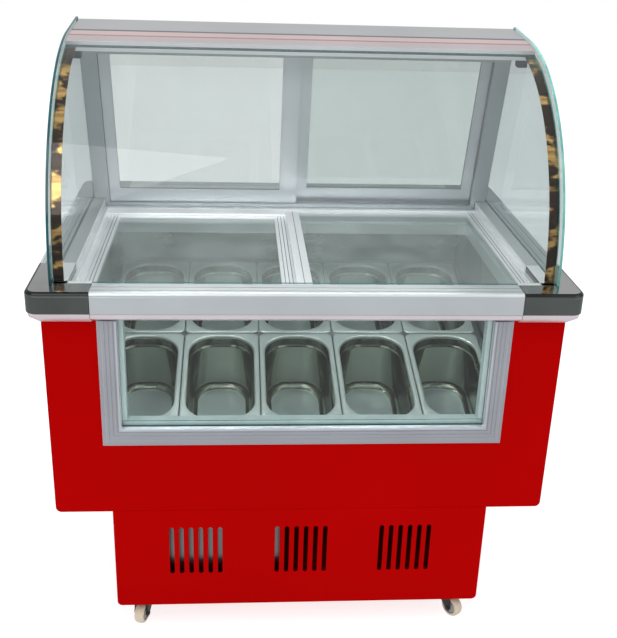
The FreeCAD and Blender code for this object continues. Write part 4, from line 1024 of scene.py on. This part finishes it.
@dataclass
class ServingWindow:
    """The fluted frame in the front wall, its two panes and the spacer between them."""

    lining: float = 0.003
    flute: float = 0.0018
    pane: float = 0.004
    seal: float = 0.0006
    spacer_height: float = 0.010

    def build(self) -> None:
        """Build and dress every piece."""
        self.members()
        self.panes()

    def members(self) -> None:
        """The three mitred members, swept round the opening."""
        low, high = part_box("window_frame")
        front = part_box("front_panel")[0].y
        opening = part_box("window_panes")[1].x
        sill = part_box("window_panes")[0].z
        back = high.y
        proud = low.y
        reach = high.x - opening
        deep, mid = proud + self.flute * 1.3, proud + 0.0006
        steps = ((0.0, proud + 0.003), (0.0015, proud), (0.0055, proud), (0.0060, deep), (0.0085, deep),
                 (0.0090, mid), (0.0145, mid), (0.0150, deep), (0.0172, deep), (0.0177, mid), (0.0228, mid),
                 (0.0233, deep), (0.0255, deep), (0.0260, proud + 0.0012), (0.0315, proud + 0.0012),
                 (0.0325, proud + 0.0034), (reach - 0.0012, proud + 0.0034), (reach, proud + 0.0046),
                 (reach, front), (self.lining, front), (self.lining, back), (0.0, back))
        # lit and shaded copies of the aluminium on the facets: 2 painted shade over the flutes and most of the
        # face, 1 (pinkish) and 4 (bluish) painted light on some walls and the inner edge, 3 painted light along
        # the outer edge
        finishes = [4, 4, 0, 2, 2, 2, 1, 2, 2, 2, 4, 2, 2, 2, 1, 2, 0, 3, 0, 0, 0, 0]
        rings = []
        corners = ((-1, None, -1, 0), (-1, sill, -1, -1), (1, sill, 1, -1), (1, None, 1, 0))
        for side_x, side_z, out_x, out_z in corners:
            ring = []
            for out, depth in steps:
                x = side_x * opening + out_x * out
                z = high.z if side_z is None else side_z + out_z * out
                ring.append(Vector((x, depth, z)))
            rings.append(ring)
        frame_piece = Solid("window_frame_mitred", [ALU_Z, ALU_PINK_PAINTED_LIGHT, ALU_SHADED, ALU_BRIGHT_AND_PAINTED_LIGHT, ALU_COOL_PAINTED_LIGHT])
        frame_piece.skin(rings, finishes)
        mount(frame_piece.finish(0.0003), "cabinet", ALU_Z.slot, "window_frame")

    def panes(self) -> None:
        """The panes with polished edges, the spacer bars and their seals."""
        def edges(face: bmesh.types.BMFace) -> int:
            """1 on a pane's narrow edges."""
            return 0 if abs(face.normal.y) > 0.5 else 1
        softened("window_panes", [CLEAR, GLASS_RIM], 0.0004, 2, edges)
        low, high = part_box("window_panes")
        bars = Solid("pane_spacers", [SPACER, GLASS_RIM])
        inner_low, inner_high = low.y + self.pane + 0.0002, high.y - self.pane - 0.0002
        top = low.z + self.spacer_height
        bars.block((low.x, inner_low, low.z + 0.0005), (high.x, inner_high, top))
        bars.block((low.x, inner_low, top), (high.x, inner_low + 0.0012, top + 0.0009), 1)
        for side in (-1, 1):
            x = sorted((side * high.x, side * (high.x - self.spacer_height)))
            bars.block((x[0], inner_low, top + 0.0011), (x[1], inner_high, high.z - 0.001))
        mount(bars.finish(0.0006), "cabinet", SPACER.slot)
        seals = Solid("pane_seals", [GLASS_RIM])
        for y in (low.y - self.seal, high.y - self.pane - 2 * self.seal):
            seals.block((low.x, y, low.z + 0.0002), (high.x, y + self.seal, low.z + 0.0028))
        mount(seals.finish(), "cabinet", GLASS_RIM.slot)


@dataclass
class PanSet:
    """The deep-drawn steel pans in two rows, and the well that they hang in."""

    width: float = 0.176
    length: float = 0.325
    depth: float = 0.150
    rim: float = 0.012
    corner: float = 0.060
    rim_corner: float = 0.014
    sheet: float = 0.0009
    draft: float = 2.0
    tilt: float = 12.1
    shoulder: float = 0.026
    shoulder_step: float = 0.0042
    floor_round: float = 0.020
    lip_drop: float = 0.0035
    columns: int = 5
    corner_steps: int = 9

    def inner_profile(self) -> list[tuple[float, float, float]]:
        """The inner face from the floor's middle to the rim, as insets, depths and corner radii.

        Returns:
            Triples of inset from the rim opening's wall, depth, and corner radius.
        """
        slope = math.tan(math.radians(self.draft))
        bottom = self.depth - self.sheet
        steps = [(0.052, bottom - 0.0004, 0.020), (0.032, bottom, 0.036)]
        for angle in (90, 70, 50, 30, 12, 0):
            a = math.radians(angle)
            inset = self.floor_round * (1 - math.cos(a)) + slope * bottom
            steps.append((inset, bottom - self.floor_round * (1 - math.sin(a)), self.corner - inset * 0.5))
        narrow = self.shoulder_step
        steps.append((slope * (self.shoulder + 0.010) + narrow * 0.25, self.shoulder + 0.010,
                      self.corner - 0.004))
        steps.append((narrow + slope * self.shoulder, self.shoulder + 0.0035, self.corner - 0.005))
        steps.append((narrow * 0.9 + slope * self.shoulder, self.shoulder + 0.0012, self.corner - 0.0045))
        steps.append((narrow * 0.25 + slope * self.shoulder, self.shoulder - 0.0012, self.corner - 0.001))
        steps.append((slope * self.shoulder, self.shoulder - 0.0035, self.corner))
        steps.append((slope * 0.006, 0.006, self.corner))
        return steps

    def rings(self) -> list[Ring]:
        """All rings of one pan, from the floor, over the rim, and back under the floor."""
        half_x, half_y, count = self.width / 2, self.length / 2, self.corner_steps
        open_x, open_y = half_x - self.rim, half_y - self.rim
        rings = [rounded_ring(open_x - inset, open_y - inset, radius, -depth, count)
                 for inset, depth, radius in self.inner_profile()]
        for angle in (15, 40, 65, 90):
            a = math.radians(angle)
            out = 0.004 * (1 - math.cos(a))
            rings.append(rounded_ring(open_x + out, open_y + out, self.corner + out,
                                      self.sheet - 0.004 * (1 - math.sin(a)), count))
        ease = self.rim - 0.003
        rings.append(rounded_ring(open_x + ease, open_y + ease, self.rim_corner + 0.004, self.sheet, count))
        for angle in (60, 30, 0):
            a = math.radians(angle)
            out = self.rim - 0.003 + 0.003 * math.cos(a)
            rings.append(rounded_ring(open_x + out, open_y + out, self.rim_corner,
                                      self.sheet - 0.003 * (1 - math.sin(a)), count))
        rings.append(rounded_ring(half_x, half_y, self.rim_corner, -self.lip_drop, count))
        rings.append(rounded_ring(half_x - self.sheet, half_y - self.sheet, self.rim_corner - self.sheet,
                                  -self.lip_drop, count))
        rings.append(rounded_ring(half_x - 0.002, half_y - 0.002, self.rim_corner - 0.001, -self.sheet, count))
        under = [(slope_inset - self.sheet, depth + (self.sheet if depth > self.depth * 0.8 else 0.0), radius)
                 for slope_inset, depth, radius in reversed(self.inner_profile())]
        rings += [rounded_ring(open_x - inset, open_y - inset, max(radius, 0.01), -depth, count)
                  for inset, depth, radius in under]
        return rings

    def build(self) -> None:
        """Build the ten pans and the well."""
        tilt = Matrix.Rotation(math.radians(self.tilt), 4, "X")
        rings = self.rings()
        for row in ("front", "rear"):
            for column in range(1, self.columns + 1):
                node = f"pan_{row}_{column}"
                pan = Solid(f"{node}_drawn", [STEEL, PAN_RIM_LIT, PAN_FLOOR_LIT])
                pan.skin(rings)
                for face in pan.mesh.faces:
                    height = face.calc_center_median().z
                    # painted light: the rim's faces take the lit copy, the floor's faces the lit bluish copy,
                    # and the walls keep the darker olive copy (painted shade)
                    face.material_index = 1 if height > -0.0042 else 2 if height < 0.0024 - self.depth else 0
                pan.moved(tilt)
                low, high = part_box(node)
                points = [vert.co for vert in pan.mesh.verts]
                own_low = Vector([min(point[axis] for point in points) for axis in range(3)])
                own_high = Vector([max(point[axis] for point in points) for axis in range(3)])
                shift = (low + high) / 2 - (own_low + own_high) / 2
                shift.z = high.z - own_high.z
                pan.moved(Matrix.Translation(shift))
                mount(pan.finish(0.0, angle=50.0), node, STEEL.slot, node)
        softened("well_liner", [STEEL_LINER], 0.0005)
        softened("pan_support_frame", [STEEL_LINER], 0.0008)
        softened("foam_core", [FOAM], 0.001)


@dataclass
class LidSet:
    """The stepped track over the well and the two glass lids that slide in it."""

    stile: float = 0.022
    meeting_stile: float = 0.032
    rail: float = 0.020
    groove: float = 0.0011

    def build(self) -> None:
        """Build and dress every piece."""
        softened("lid_track_frame", [ALU_BRIGHT_AND_PAINTED_LIGHT], 0.0007)
        self.lid("left_lid", (self.stile, self.meeting_stile), (3, 4))
        self.lid("right_lid", (self.meeting_stile, self.stile), (2, 3))

    def lid(self, name: str, stiles: tuple[float, float], ribs: tuple[int, int]) -> None:
        """One lid: ribbed stiles, plain rails and a pane.

        Args:
            name: The lid's name.
            stiles: The left and right stiles' widths.
            ribs: The left and right stiles' ribs.
        """
        low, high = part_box(f"{name}_frame")
        height = high.z - low.z
        bars = Solid(f"{name}_bars", [ALU_BRIGHT_AND_PAINTED_LIGHT, ALU_DARK])
        for start, width, count in ((low.x, stiles[0], ribs[0]), (high.x - stiles[1], stiles[1], ribs[1])):
            section = ribbed_top(width, height, count, self.groove)
            # the groove faces take the dark finish, painted shade
            numbers = [1 if 3 <= side < len(section) - 1 and (side - 3) % 4 < 3 else 0
                       for side in range(len(section))]
            bars.prism([(start + u, low.z + v) for u, v in section], Across.Y, low.y, high.y, numbers)
        for start in (low.y, high.y - self.rail):
            section = ribbed_top(self.rail, height, 2, self.groove)
            bars.prism([(start + u, low.z + v) for u, v in section], Across.X,
                       low.x + stiles[0] - 0.0002, high.x - stiles[1] + 0.0002)
        mount(bars.finish(0.0005), name, ALU_BRIGHT_AND_PAINTED_LIGHT.slot, f"{name}_frame")

        def edges(face: bmesh.types.BMFace) -> int:
            """1 on the pane's narrow edges."""
            return 0 if abs(face.normal.z) > 0.5 else 1
        softened(f"{name}_glass", [LID_GLASS, GLASS_EDGE], 0.0004, 2, edges)


@dataclass
class DisplayGlass:
    """The bent front pane, the two shaped side panes, their gold strips and the top clips."""

    center_y: float = 0.057
    center_z: float = 0.832
    radius: float = 0.430
    front_radius: float = 0.418
    front_thickness: float = 0.006
    roof_slope: float = 6.0
    canopy_start: float = 13.5
    trim_width: float = 0.020
    trim_sheet: float = 0.0025
    steps: int = 72

    def bent(self, radius: float, thickness: float, angles: tuple[float, float]) -> list[tuple[float, float]]:
        """The side outline of a bent strip.

        Args:
            radius: The outer radius.
            thickness: The strip's thickness.
            angles: The first and last angles, from level, in degrees.

        Returns:
            Pairs of depth and height.
        """
        center = (self.center_y, self.center_z)
        outer = arc(center, radius, *angles, self.steps)
        inner = arc(center, radius - thickness, angles[1], angles[0], self.steps)
        return outer + inner

    def build(self) -> None:
        """Build and dress every piece."""
        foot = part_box("curved_front_glass")[0].z
        first = 180 - math.degrees(math.asin((foot - self.center_z) / self.front_radius))
        last = 90 + self.canopy_start
        low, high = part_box("curved_front_glass")
        pane = Solid("front_pane_bent", [CLEAR, GLASS_EDGE, GLASS_RIM])
        outline = self.bent(self.front_radius, self.front_thickness, (first, last))
        pane.prism(outline, Across.X, low.x, high.x)
        self.edge_finish(pane, 0)
        mount(pane.finish(0.0008), "cabinet", CLEAR.slot, "curved_front_glass")
        self.sides()
        self.strips(first, last)
        softened("glass_clips", [ALU_DARK], 0.0012)

    def edge_finish(self, pane: Solid, axis: int) -> None:
        """Give a pane's faces across an axis the polished edge finish, and its two end edges the dark one as
        painted shade.
        """
        pane.mesh.faces.ensure_lookup_table()
        for face in pane.mesh.faces:
            face.normal_update()
            if abs(face.normal[axis]) > 0.9:
                face.material_index = 1
        # painted shade: both end edges take the dark rim finish
        for number in (self.steps, 2 * self.steps + 1):
            pane.mesh.faces[number].material_index = 2

    def sides(self) -> None:
        """The side panes: softened copies whose narrow faces are green, the left pane's a darker green as
        painted shade.
        """
        def edges(face: bmesh.types.BMFace) -> int:
            """1 on the right pane's narrow edges, 2 (the painted shade) on the left one's."""
            if abs(face.normal.x) > 0.5:
                return 0
            return 1 if face.calc_center_median().x > 0 else 2
        softened("side_glasses", [SIDE_GLASS, GLASS_EDGE, GLASS_EDGE_SHADED], 0.0014, 2, edges)

    def strips(self, first: float, last: float) -> None:
        """The gold strips that hide the joints between the front and side panes.

        Args:
            first: The angle of the strips' feet.
            last: The angle of their tops.
        """
        low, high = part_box("gold_edge_trims")
        strips = Solid("gold_strips", [GOLD])
        outline = self.bent(self.front_radius - self.front_thickness, self.trim_sheet, (first, last))
        strips.prism(outline, Across.X, high.x - self.trim_width, high.x).mirrored()
        mount(strips.finish(0.0004), "cabinet", GOLD.slot, "gold_edge_trims")


@dataclass
class Canopy:
    """The top extrusion between the side panes, with its inlaid stripes and lamp strip."""

    drop: float = 0.004
    depth: float = 0.022
    lamp_dots: int = 60
    dot_radius: float = 0.0022

    def build(self, pattern: Pattern) -> None:
        """Build and dress every piece.

        Args:
            pattern: Sets out the lamp dots.
        """
        self.extrusion()
        softened("led_strip", [LAMP], 0.0006)
        self.dots(pattern)

    def extrusion(self) -> None:
        """The extrusion, with bands and grooves along its top."""
        low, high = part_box("canopy_profile")
        glass = DisplayGlass()
        slope = math.radians(glass.roof_slope)
        center = Vector((glass.center_y, glass.center_z))
        outer = glass.radius - self.drop
        inner = outer - self.depth
        along = Vector((math.cos(slope), math.sin(slope)))
        up = Vector((-math.sin(slope), math.cos(slope)))
        tangent = center + up * outer
        run = (high.y - tangent.x) / along.x
        front = arc(tuple(center), outer, 90 + glass.canopy_start, 90 + glass.roof_slope, 6)
        points: list[tuple[float, float]] = list(front)
        numbers = [1, 1, 1, 1, 4, 5]
        bands = ((0.026, 5, 0.0), (0.0275, 2, 0.0012), (0.038, 2, 0.0), (run - 0.0015, 0, 0.0))
        for reach, number, depth in bands:
            at = tangent + along * reach
            if depth:
                start = Vector(points[-1]) - up * depth
                points += [tuple(start), tuple(at - up * depth)]
                numbers += [number, number, number]
            else:
                numbers.append(number)
            points.append(tuple(at))
        rear = tangent + along * run
        points += [tuple(rear - up * 0.0015), tuple(rear - up * self.depth)]
        numbers += [0, 0]
        points.append(tuple(center + up * inner))
        numbers += [0]
        points += arc(tuple(center), inner, 90 + glass.roof_slope, 90 + glass.canopy_start, 6)[1:]
        # the underside's arc and the front end face take the lighter aluminium, painted light
        numbers += [6] * (len(points) - len(numbers))
        canopy = Solid("canopy_extrusion", [CANOPY_GREY, CANOPY_PALE, CANOPY_SHADE, ALU_DARK, RED_INLAY,
                                            CANOPY_ROSE, ALU_BRIGHT_AND_PAINTED_LIGHT])
        canopy.prism(points, Across.X, low.x + 0.0004, high.x - 0.0004, numbers)
        mount(canopy.finish(0.0003), "cabinet", ALU_X.slot, "canopy_profile")

    def dots(self, pattern: Pattern) -> None:
        """The row of small lamps along the strip's front face."""
        low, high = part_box("led_strip")
        seed = Solid("dot_seed", [LAMP_DOT])
        r = self.dot_radius
        profile = [(r * 0.2, 0.0), (r, 0.0), (r * 0.9, r * 0.5), (r * 0.3, r * 0.8)]
        seed.lathe(profile, Vector(), Vector((0, -1, 0)), 12)
        step = (high.x - low.x - 0.02) / (self.lamp_dots - 1)
        start = Vector((low.x + 0.01, low.y, low.z + 0.0045))
        dots = pattern.lay("lamp_dots", seed.finish(), LAMP_DOT, start, (self.lamp_dots, Vector((step, 0, 0))),
                           (1, Vector((0, 0, 0))))
        mount(dots, "cabinet", LAMP.slot)


@dataclass
class RearScreen:
    """The leaning frame on the server's side, with its two sliding glass doors."""

    lean: float = 16.0

    def build(self) -> None:
        """Build and dress every piece."""
        # the leaning frame and door frames take darker copies of the aluminium, and the right pane a darker
        # copy of the glass: painted shade
        softened("rear_frame", [ALU_SCREEN_SHADED], 0.0009)
        lean = math.radians(self.lean)
        facing = Vector((0, -math.cos(lean), -math.sin(lean)))

        def edges(face: bmesh.types.BMFace) -> int:
            """1 on a pane's narrow edges."""
            return 0 if abs(face.normal.dot(facing)) > 0.5 else 1
        for side in ("left", "right"):
            softened(f"{side}_door_frame", [ALU_DOOR_SHADED], 0.0008)
            pane = DOOR_GLASS if side == "left" else DOOR_GLASS_RIGHT_SHADED
            softened(f"{side}_door_glass", [pane, GLASS_EDGE], 0.0004, 2, edges)


@dataclass
class CasterSet:
    """Four swivel casters with moulded wheels."""

    radius: float = 0.025
    half_width: float = 0.011
    axle: float = 0.0042
    plate_half: float = 0.032
    names: tuple[str, ...] = ("front_left", "front_right", "rear_left", "rear_right")

    def build(self) -> None:
        """Build and dress every piece."""
        softened("caster_plates", [ZINC], 0.0005)
        for name in self.names:
            self.wheel(name)
            softened(f"caster_fork_{name}", [BLACK_STEEL], 0.0008)

    def wheel(self, name: str) -> None:
        """One wheel: a crowned tread on a dished hub.

        Args:
            name: The caster's name.
        """
        node = f"caster_wheel_{name}"
        hub = middle(node)
        axis = self.axis(name)
        hub.z = self.radius
        r, half = self.radius, self.half_width
        profile = [(self.axle, -half), (0.008, -half), (0.0085, -half + 0.0025), (0.0155, -half + 0.003),
                   (0.0165, -half + 0.0005), (0.0185, -half + 0.0004), (0.0195, -half + 0.0012),
                   (0.0225, -half + 0.0012), (r - 0.0012, -half + 0.0035), (r, -half + 0.007)]
        finish = [1, 1, 1, 1, 1, 0, 0, 0, 0]
        far = [(radius, -run) for radius, run in reversed(profile)]
        wheel = Solid(f"{node}_moulded", [TREAD, HUB])
        wheel.lathe(profile + far, hub, axis, 40, [*finish, 0, *reversed(finish)])
        mount(wheel.finish(0.0003), f"wheel_{name}", TREAD.slot, node)

    def axis(self, name: str) -> Vector:
        """The level axle direction of one caster, found from where its wheel trails."""
        plates_low, plates_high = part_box("caster_plates")
        x = plates_low.x + self.plate_half if "left" in name else plates_high.x - self.plate_half
        y = plates_low.y + self.plate_half if "front" in name else plates_high.y - self.plate_half
        trail = middle(f"caster_wheel_{name}") - Vector((x, y, 0))
        return Vector((-trail.y, trail.x, 0)).normalized()


@dataclass
class Refrigeration:
    """The machine compartment: compressor, condenser with its fan, evaporator and pipework."""

    fin_pitch: float = 0.004
    fin_sheet: float = 0.0006
    fin_proud: float = 0.002

    def build(self, pattern: Pattern) -> None:
        """Build and dress every piece.

        Args:
            pattern: Sets out the fins.
        """
        softened("compressor", [BLACK_STEEL], 0.001)
        softened("condenser", [ZINC], 0.0006)
        softened("fan_shroud", [BLACK_STEEL], 0.0008)
        softened("fan_blade", [ZINC], 0.0005)
        softened("evaporator", [ZINC], 0.0006)
        softened("refrigerant_lines", [COPPER], 0.0)
        for node in ("condenser", "evaporator"):
            low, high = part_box(node)
            seed = Solid("fin_seed", [ZINC])
            seed.block((0, -self.fin_proud, 0.004), (self.fin_sheet, 0.002, high.z - low.z - 0.004))
            count = int((high.x - low.x - 0.012) / self.fin_pitch)
            fins = pattern.lay(f"{node}_fins", seed.finish(), ZINC, Vector((low.x + 0.006, low.y, low.z)),
                               (count, Vector((self.fin_pitch, 0, 0))), (1, Vector((0, 0, 0))))
            mount(fins, "cabinet", ZINC.slot)


@dataclass
class Controls:
    """The fascia on the server's side, its rocker, the cord's gland and the screws."""

    def build(self) -> None:
        """Build and dress every piece."""
        softened("control_panel", [BLACK], 0.0012)
        softened("power_switch", [BLACK], 0.0015)
        softened("cord_gland", [BLACK], 0.0008)
        softened("assembly_screws", [ZINC], 0.0003)


@dataclass
class Studio:
    """The pale floor, the soft lights and the camera."""

    camera_at: Vector = field(default_factory=lambda: Vector((-0.143, -2.186, 1.518)))
    yaw: float = 0.0794
    pitch: float = 0.3966
    roll: float = -0.0328
    lens: float = 55.46
    strip_width: float = 0.05
    strip_power: float = 2.3
    strip_set_off: float = 0.02
    strip_drop: float = 0.03
    strip_turn: float = -8.0

    def build(self) -> None:
        """Build the floor, the world, the lights and the camera."""
        self.floor()
        self.world()
        self.lights()
        self.camera()
        bpy.context.scene.view_settings.view_transform = "Standard"

    def floor(self) -> None:
        """A wide pale floor."""
        finish = Moulding("studio_floor", "floor", (0.42, 0.42, 0.42), 0.9, 40.0, 0.0001, 0.01, 0.78)
        floor = Solid("studio_floor", [finish])
        floor.block((-8, -8, -0.02), (8, 8, -0.0005))
        thing = floor.finish()
        thing.visible_glossy = False

    def world(self) -> None:
        """White to the eye; to reflections, a soft room that is brighter overhead."""
        world = bpy.data.worlds.new("studio")
        bpy.context.scene.world = world
        world.use_nodes = True
        tree = world.node_tree
        tree.nodes.clear()
        ray = tree.nodes.new("ShaderNodeLightPath")
        place = tree.nodes.new("ShaderNodeTexCoord")
        parts = tree.nodes.new("ShaderNodeSeparateXYZ")
        tree.links.new(place.outputs["Generated"], parts.inputs[0])
        ramp = tree.nodes.new("ShaderNodeValToRGB")
        height = tree.nodes.new("ShaderNodeMapRange")
        height.inputs["From Min"].default_value = -1.0
        tree.links.new(parts.outputs["Z"], height.inputs["Value"])
        tree.links.new(height.outputs["Result"], ramp.inputs["Fac"])
        stops = ((0.0, 0.66), (0.35, 0.70), (0.5, 0.74), (0.7, 0.95), (1.0, 1.15))
        while len(ramp.color_ramp.elements) < len(stops):
            ramp.color_ramp.elements.new(0.5)
        for element, (at, level) in zip(ramp.color_ramp.elements, stops):
            element.position = at
            element.color = (level * 0.97, level, level * 1.01, 1.0)
        room = tree.nodes.new("ShaderNodeBackground")
        room.inputs["Strength"].default_value = 0.7
        tree.links.new(ramp.outputs["Color"], room.inputs["Color"])
        sheet = tree.nodes.new("ShaderNodeBackground")
        sheet.inputs["Color"].default_value = (1.0, 1.0, 1.0, 1.0)
        mix = tree.nodes.new("ShaderNodeMixShader")
        tree.links.new(ray.outputs["Is Camera Ray"], mix.inputs[0])
        tree.links.new(room.outputs[0], mix.inputs[1])
        tree.links.new(sheet.outputs[0], mix.inputs[2])
        out = tree.nodes.new("ShaderNodeOutputWorld")
        tree.links.new(mix.outputs[0], out.inputs["Surface"])

    def lights(self) -> None:
        """A large key on the left, a fill on the right, a low front light, and one under the canopy."""
        aim = Vector((0, 0, 0.6))
        lamps = (("key", (-1.6, -2.4, 3.0), 2.4, 34.0), ("fill", (2.4, -1.6, 2.2), 2.0, 16.0),
                 ("top", (0.0, 0.4, 3.4), 3.0, 80.0), ("low", (0.0, -4.0, 0.9), 2.5, 12.0))
        for name, at, size, power in lamps:
            data = bpy.data.lights.new(name, "AREA")
            data.size = size
            data.energy = power
            light = bpy.data.objects.new(name, data)
            light.location = at
            light.rotation_mode = "QUATERNION"
            light.visible_glossy = name in ("key", "fill")
            light.rotation_quaternion = (aim - Vector(at)).to_track_quat("-Z", "Y")
            bpy.context.scene.collection.objects.link(light)
        low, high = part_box("led_strip")
        data = bpy.data.lights.new("strip", "AREA")
        data.shape = "RECTANGLE"
        data.size, data.size_y, data.energy = high.x - low.x, self.strip_width, self.strip_power
        light = bpy.data.objects.new("strip", data)
        light.location = (0.0, low.y - self.strip_set_off, low.z - self.strip_drop)
        light.visible_camera = False
        light.rotation_euler = (math.radians(self.strip_turn), 0.0, 0.0)
        bpy.context.scene.collection.objects.link(light)

    def camera(self) -> None:
        """The camera, from its place and its three turns."""
        sin, cos = math.sin, math.cos
        ahead = Vector((sin(self.yaw) * cos(self.pitch), cos(self.yaw) * cos(self.pitch), -sin(self.pitch)))
        right = Vector((cos(self.yaw), -sin(self.yaw), 0))
        down = ahead.cross(right)
        side = right * cos(self.roll) + down * sin(self.roll)
        fall = down * cos(self.roll) - right * sin(self.roll)
        turn = Matrix((side, -fall, -ahead)).transposed()
        data = bpy.data.cameras.new("camera")
        data.lens = self.lens
        data.clip_end = 50
        camera = bpy.data.objects.new("camera", data)
        camera.rotation_mode = "QUATERNION"
        camera.rotation_quaternion = turn.to_quaternion()
        camera.location = self.camera_at
        bpy.context.scene.collection.objects.link(camera)
        bpy.context.scene.camera = camera


def dress_remaining() -> None:
    """Give every CAD node that still shows the finish of its slot."""
    slots = {node: row["slot"] for row in frame["record"].get("materials", []) for node in row.get("nodes", [])}
    for name, thing in frame["nodes"].items():
        if not thing.hide_render:
            finish = SLOT_FINISHES.get(slots.get(name, ""), ALU_X)
            thing.data.materials.clear()
            thing.data.materials.append(finish.material())
            LOG.info("%s: CAD mesh dressed as %s", name, finish.name)


def main() -> None:
    """Build every sub-assembly in order, then the studio."""
    logging.basicConfig(level=logging.INFO, format="%(name)s %(message)s")
    pattern = Pattern()
    PaintedBody().build(pattern)
    Counter().build()
    ServingWindow().build()
    PanSet().build()
    LidSet().build()
    DisplayGlass().build()
    Canopy().build(pattern)
    RearScreen().build()
    CasterSet().build()
    Refrigeration().build(pattern)
    Controls().build()
    dress_remaining()
    Studio().build()


if __name__ == "__main__":
    main()
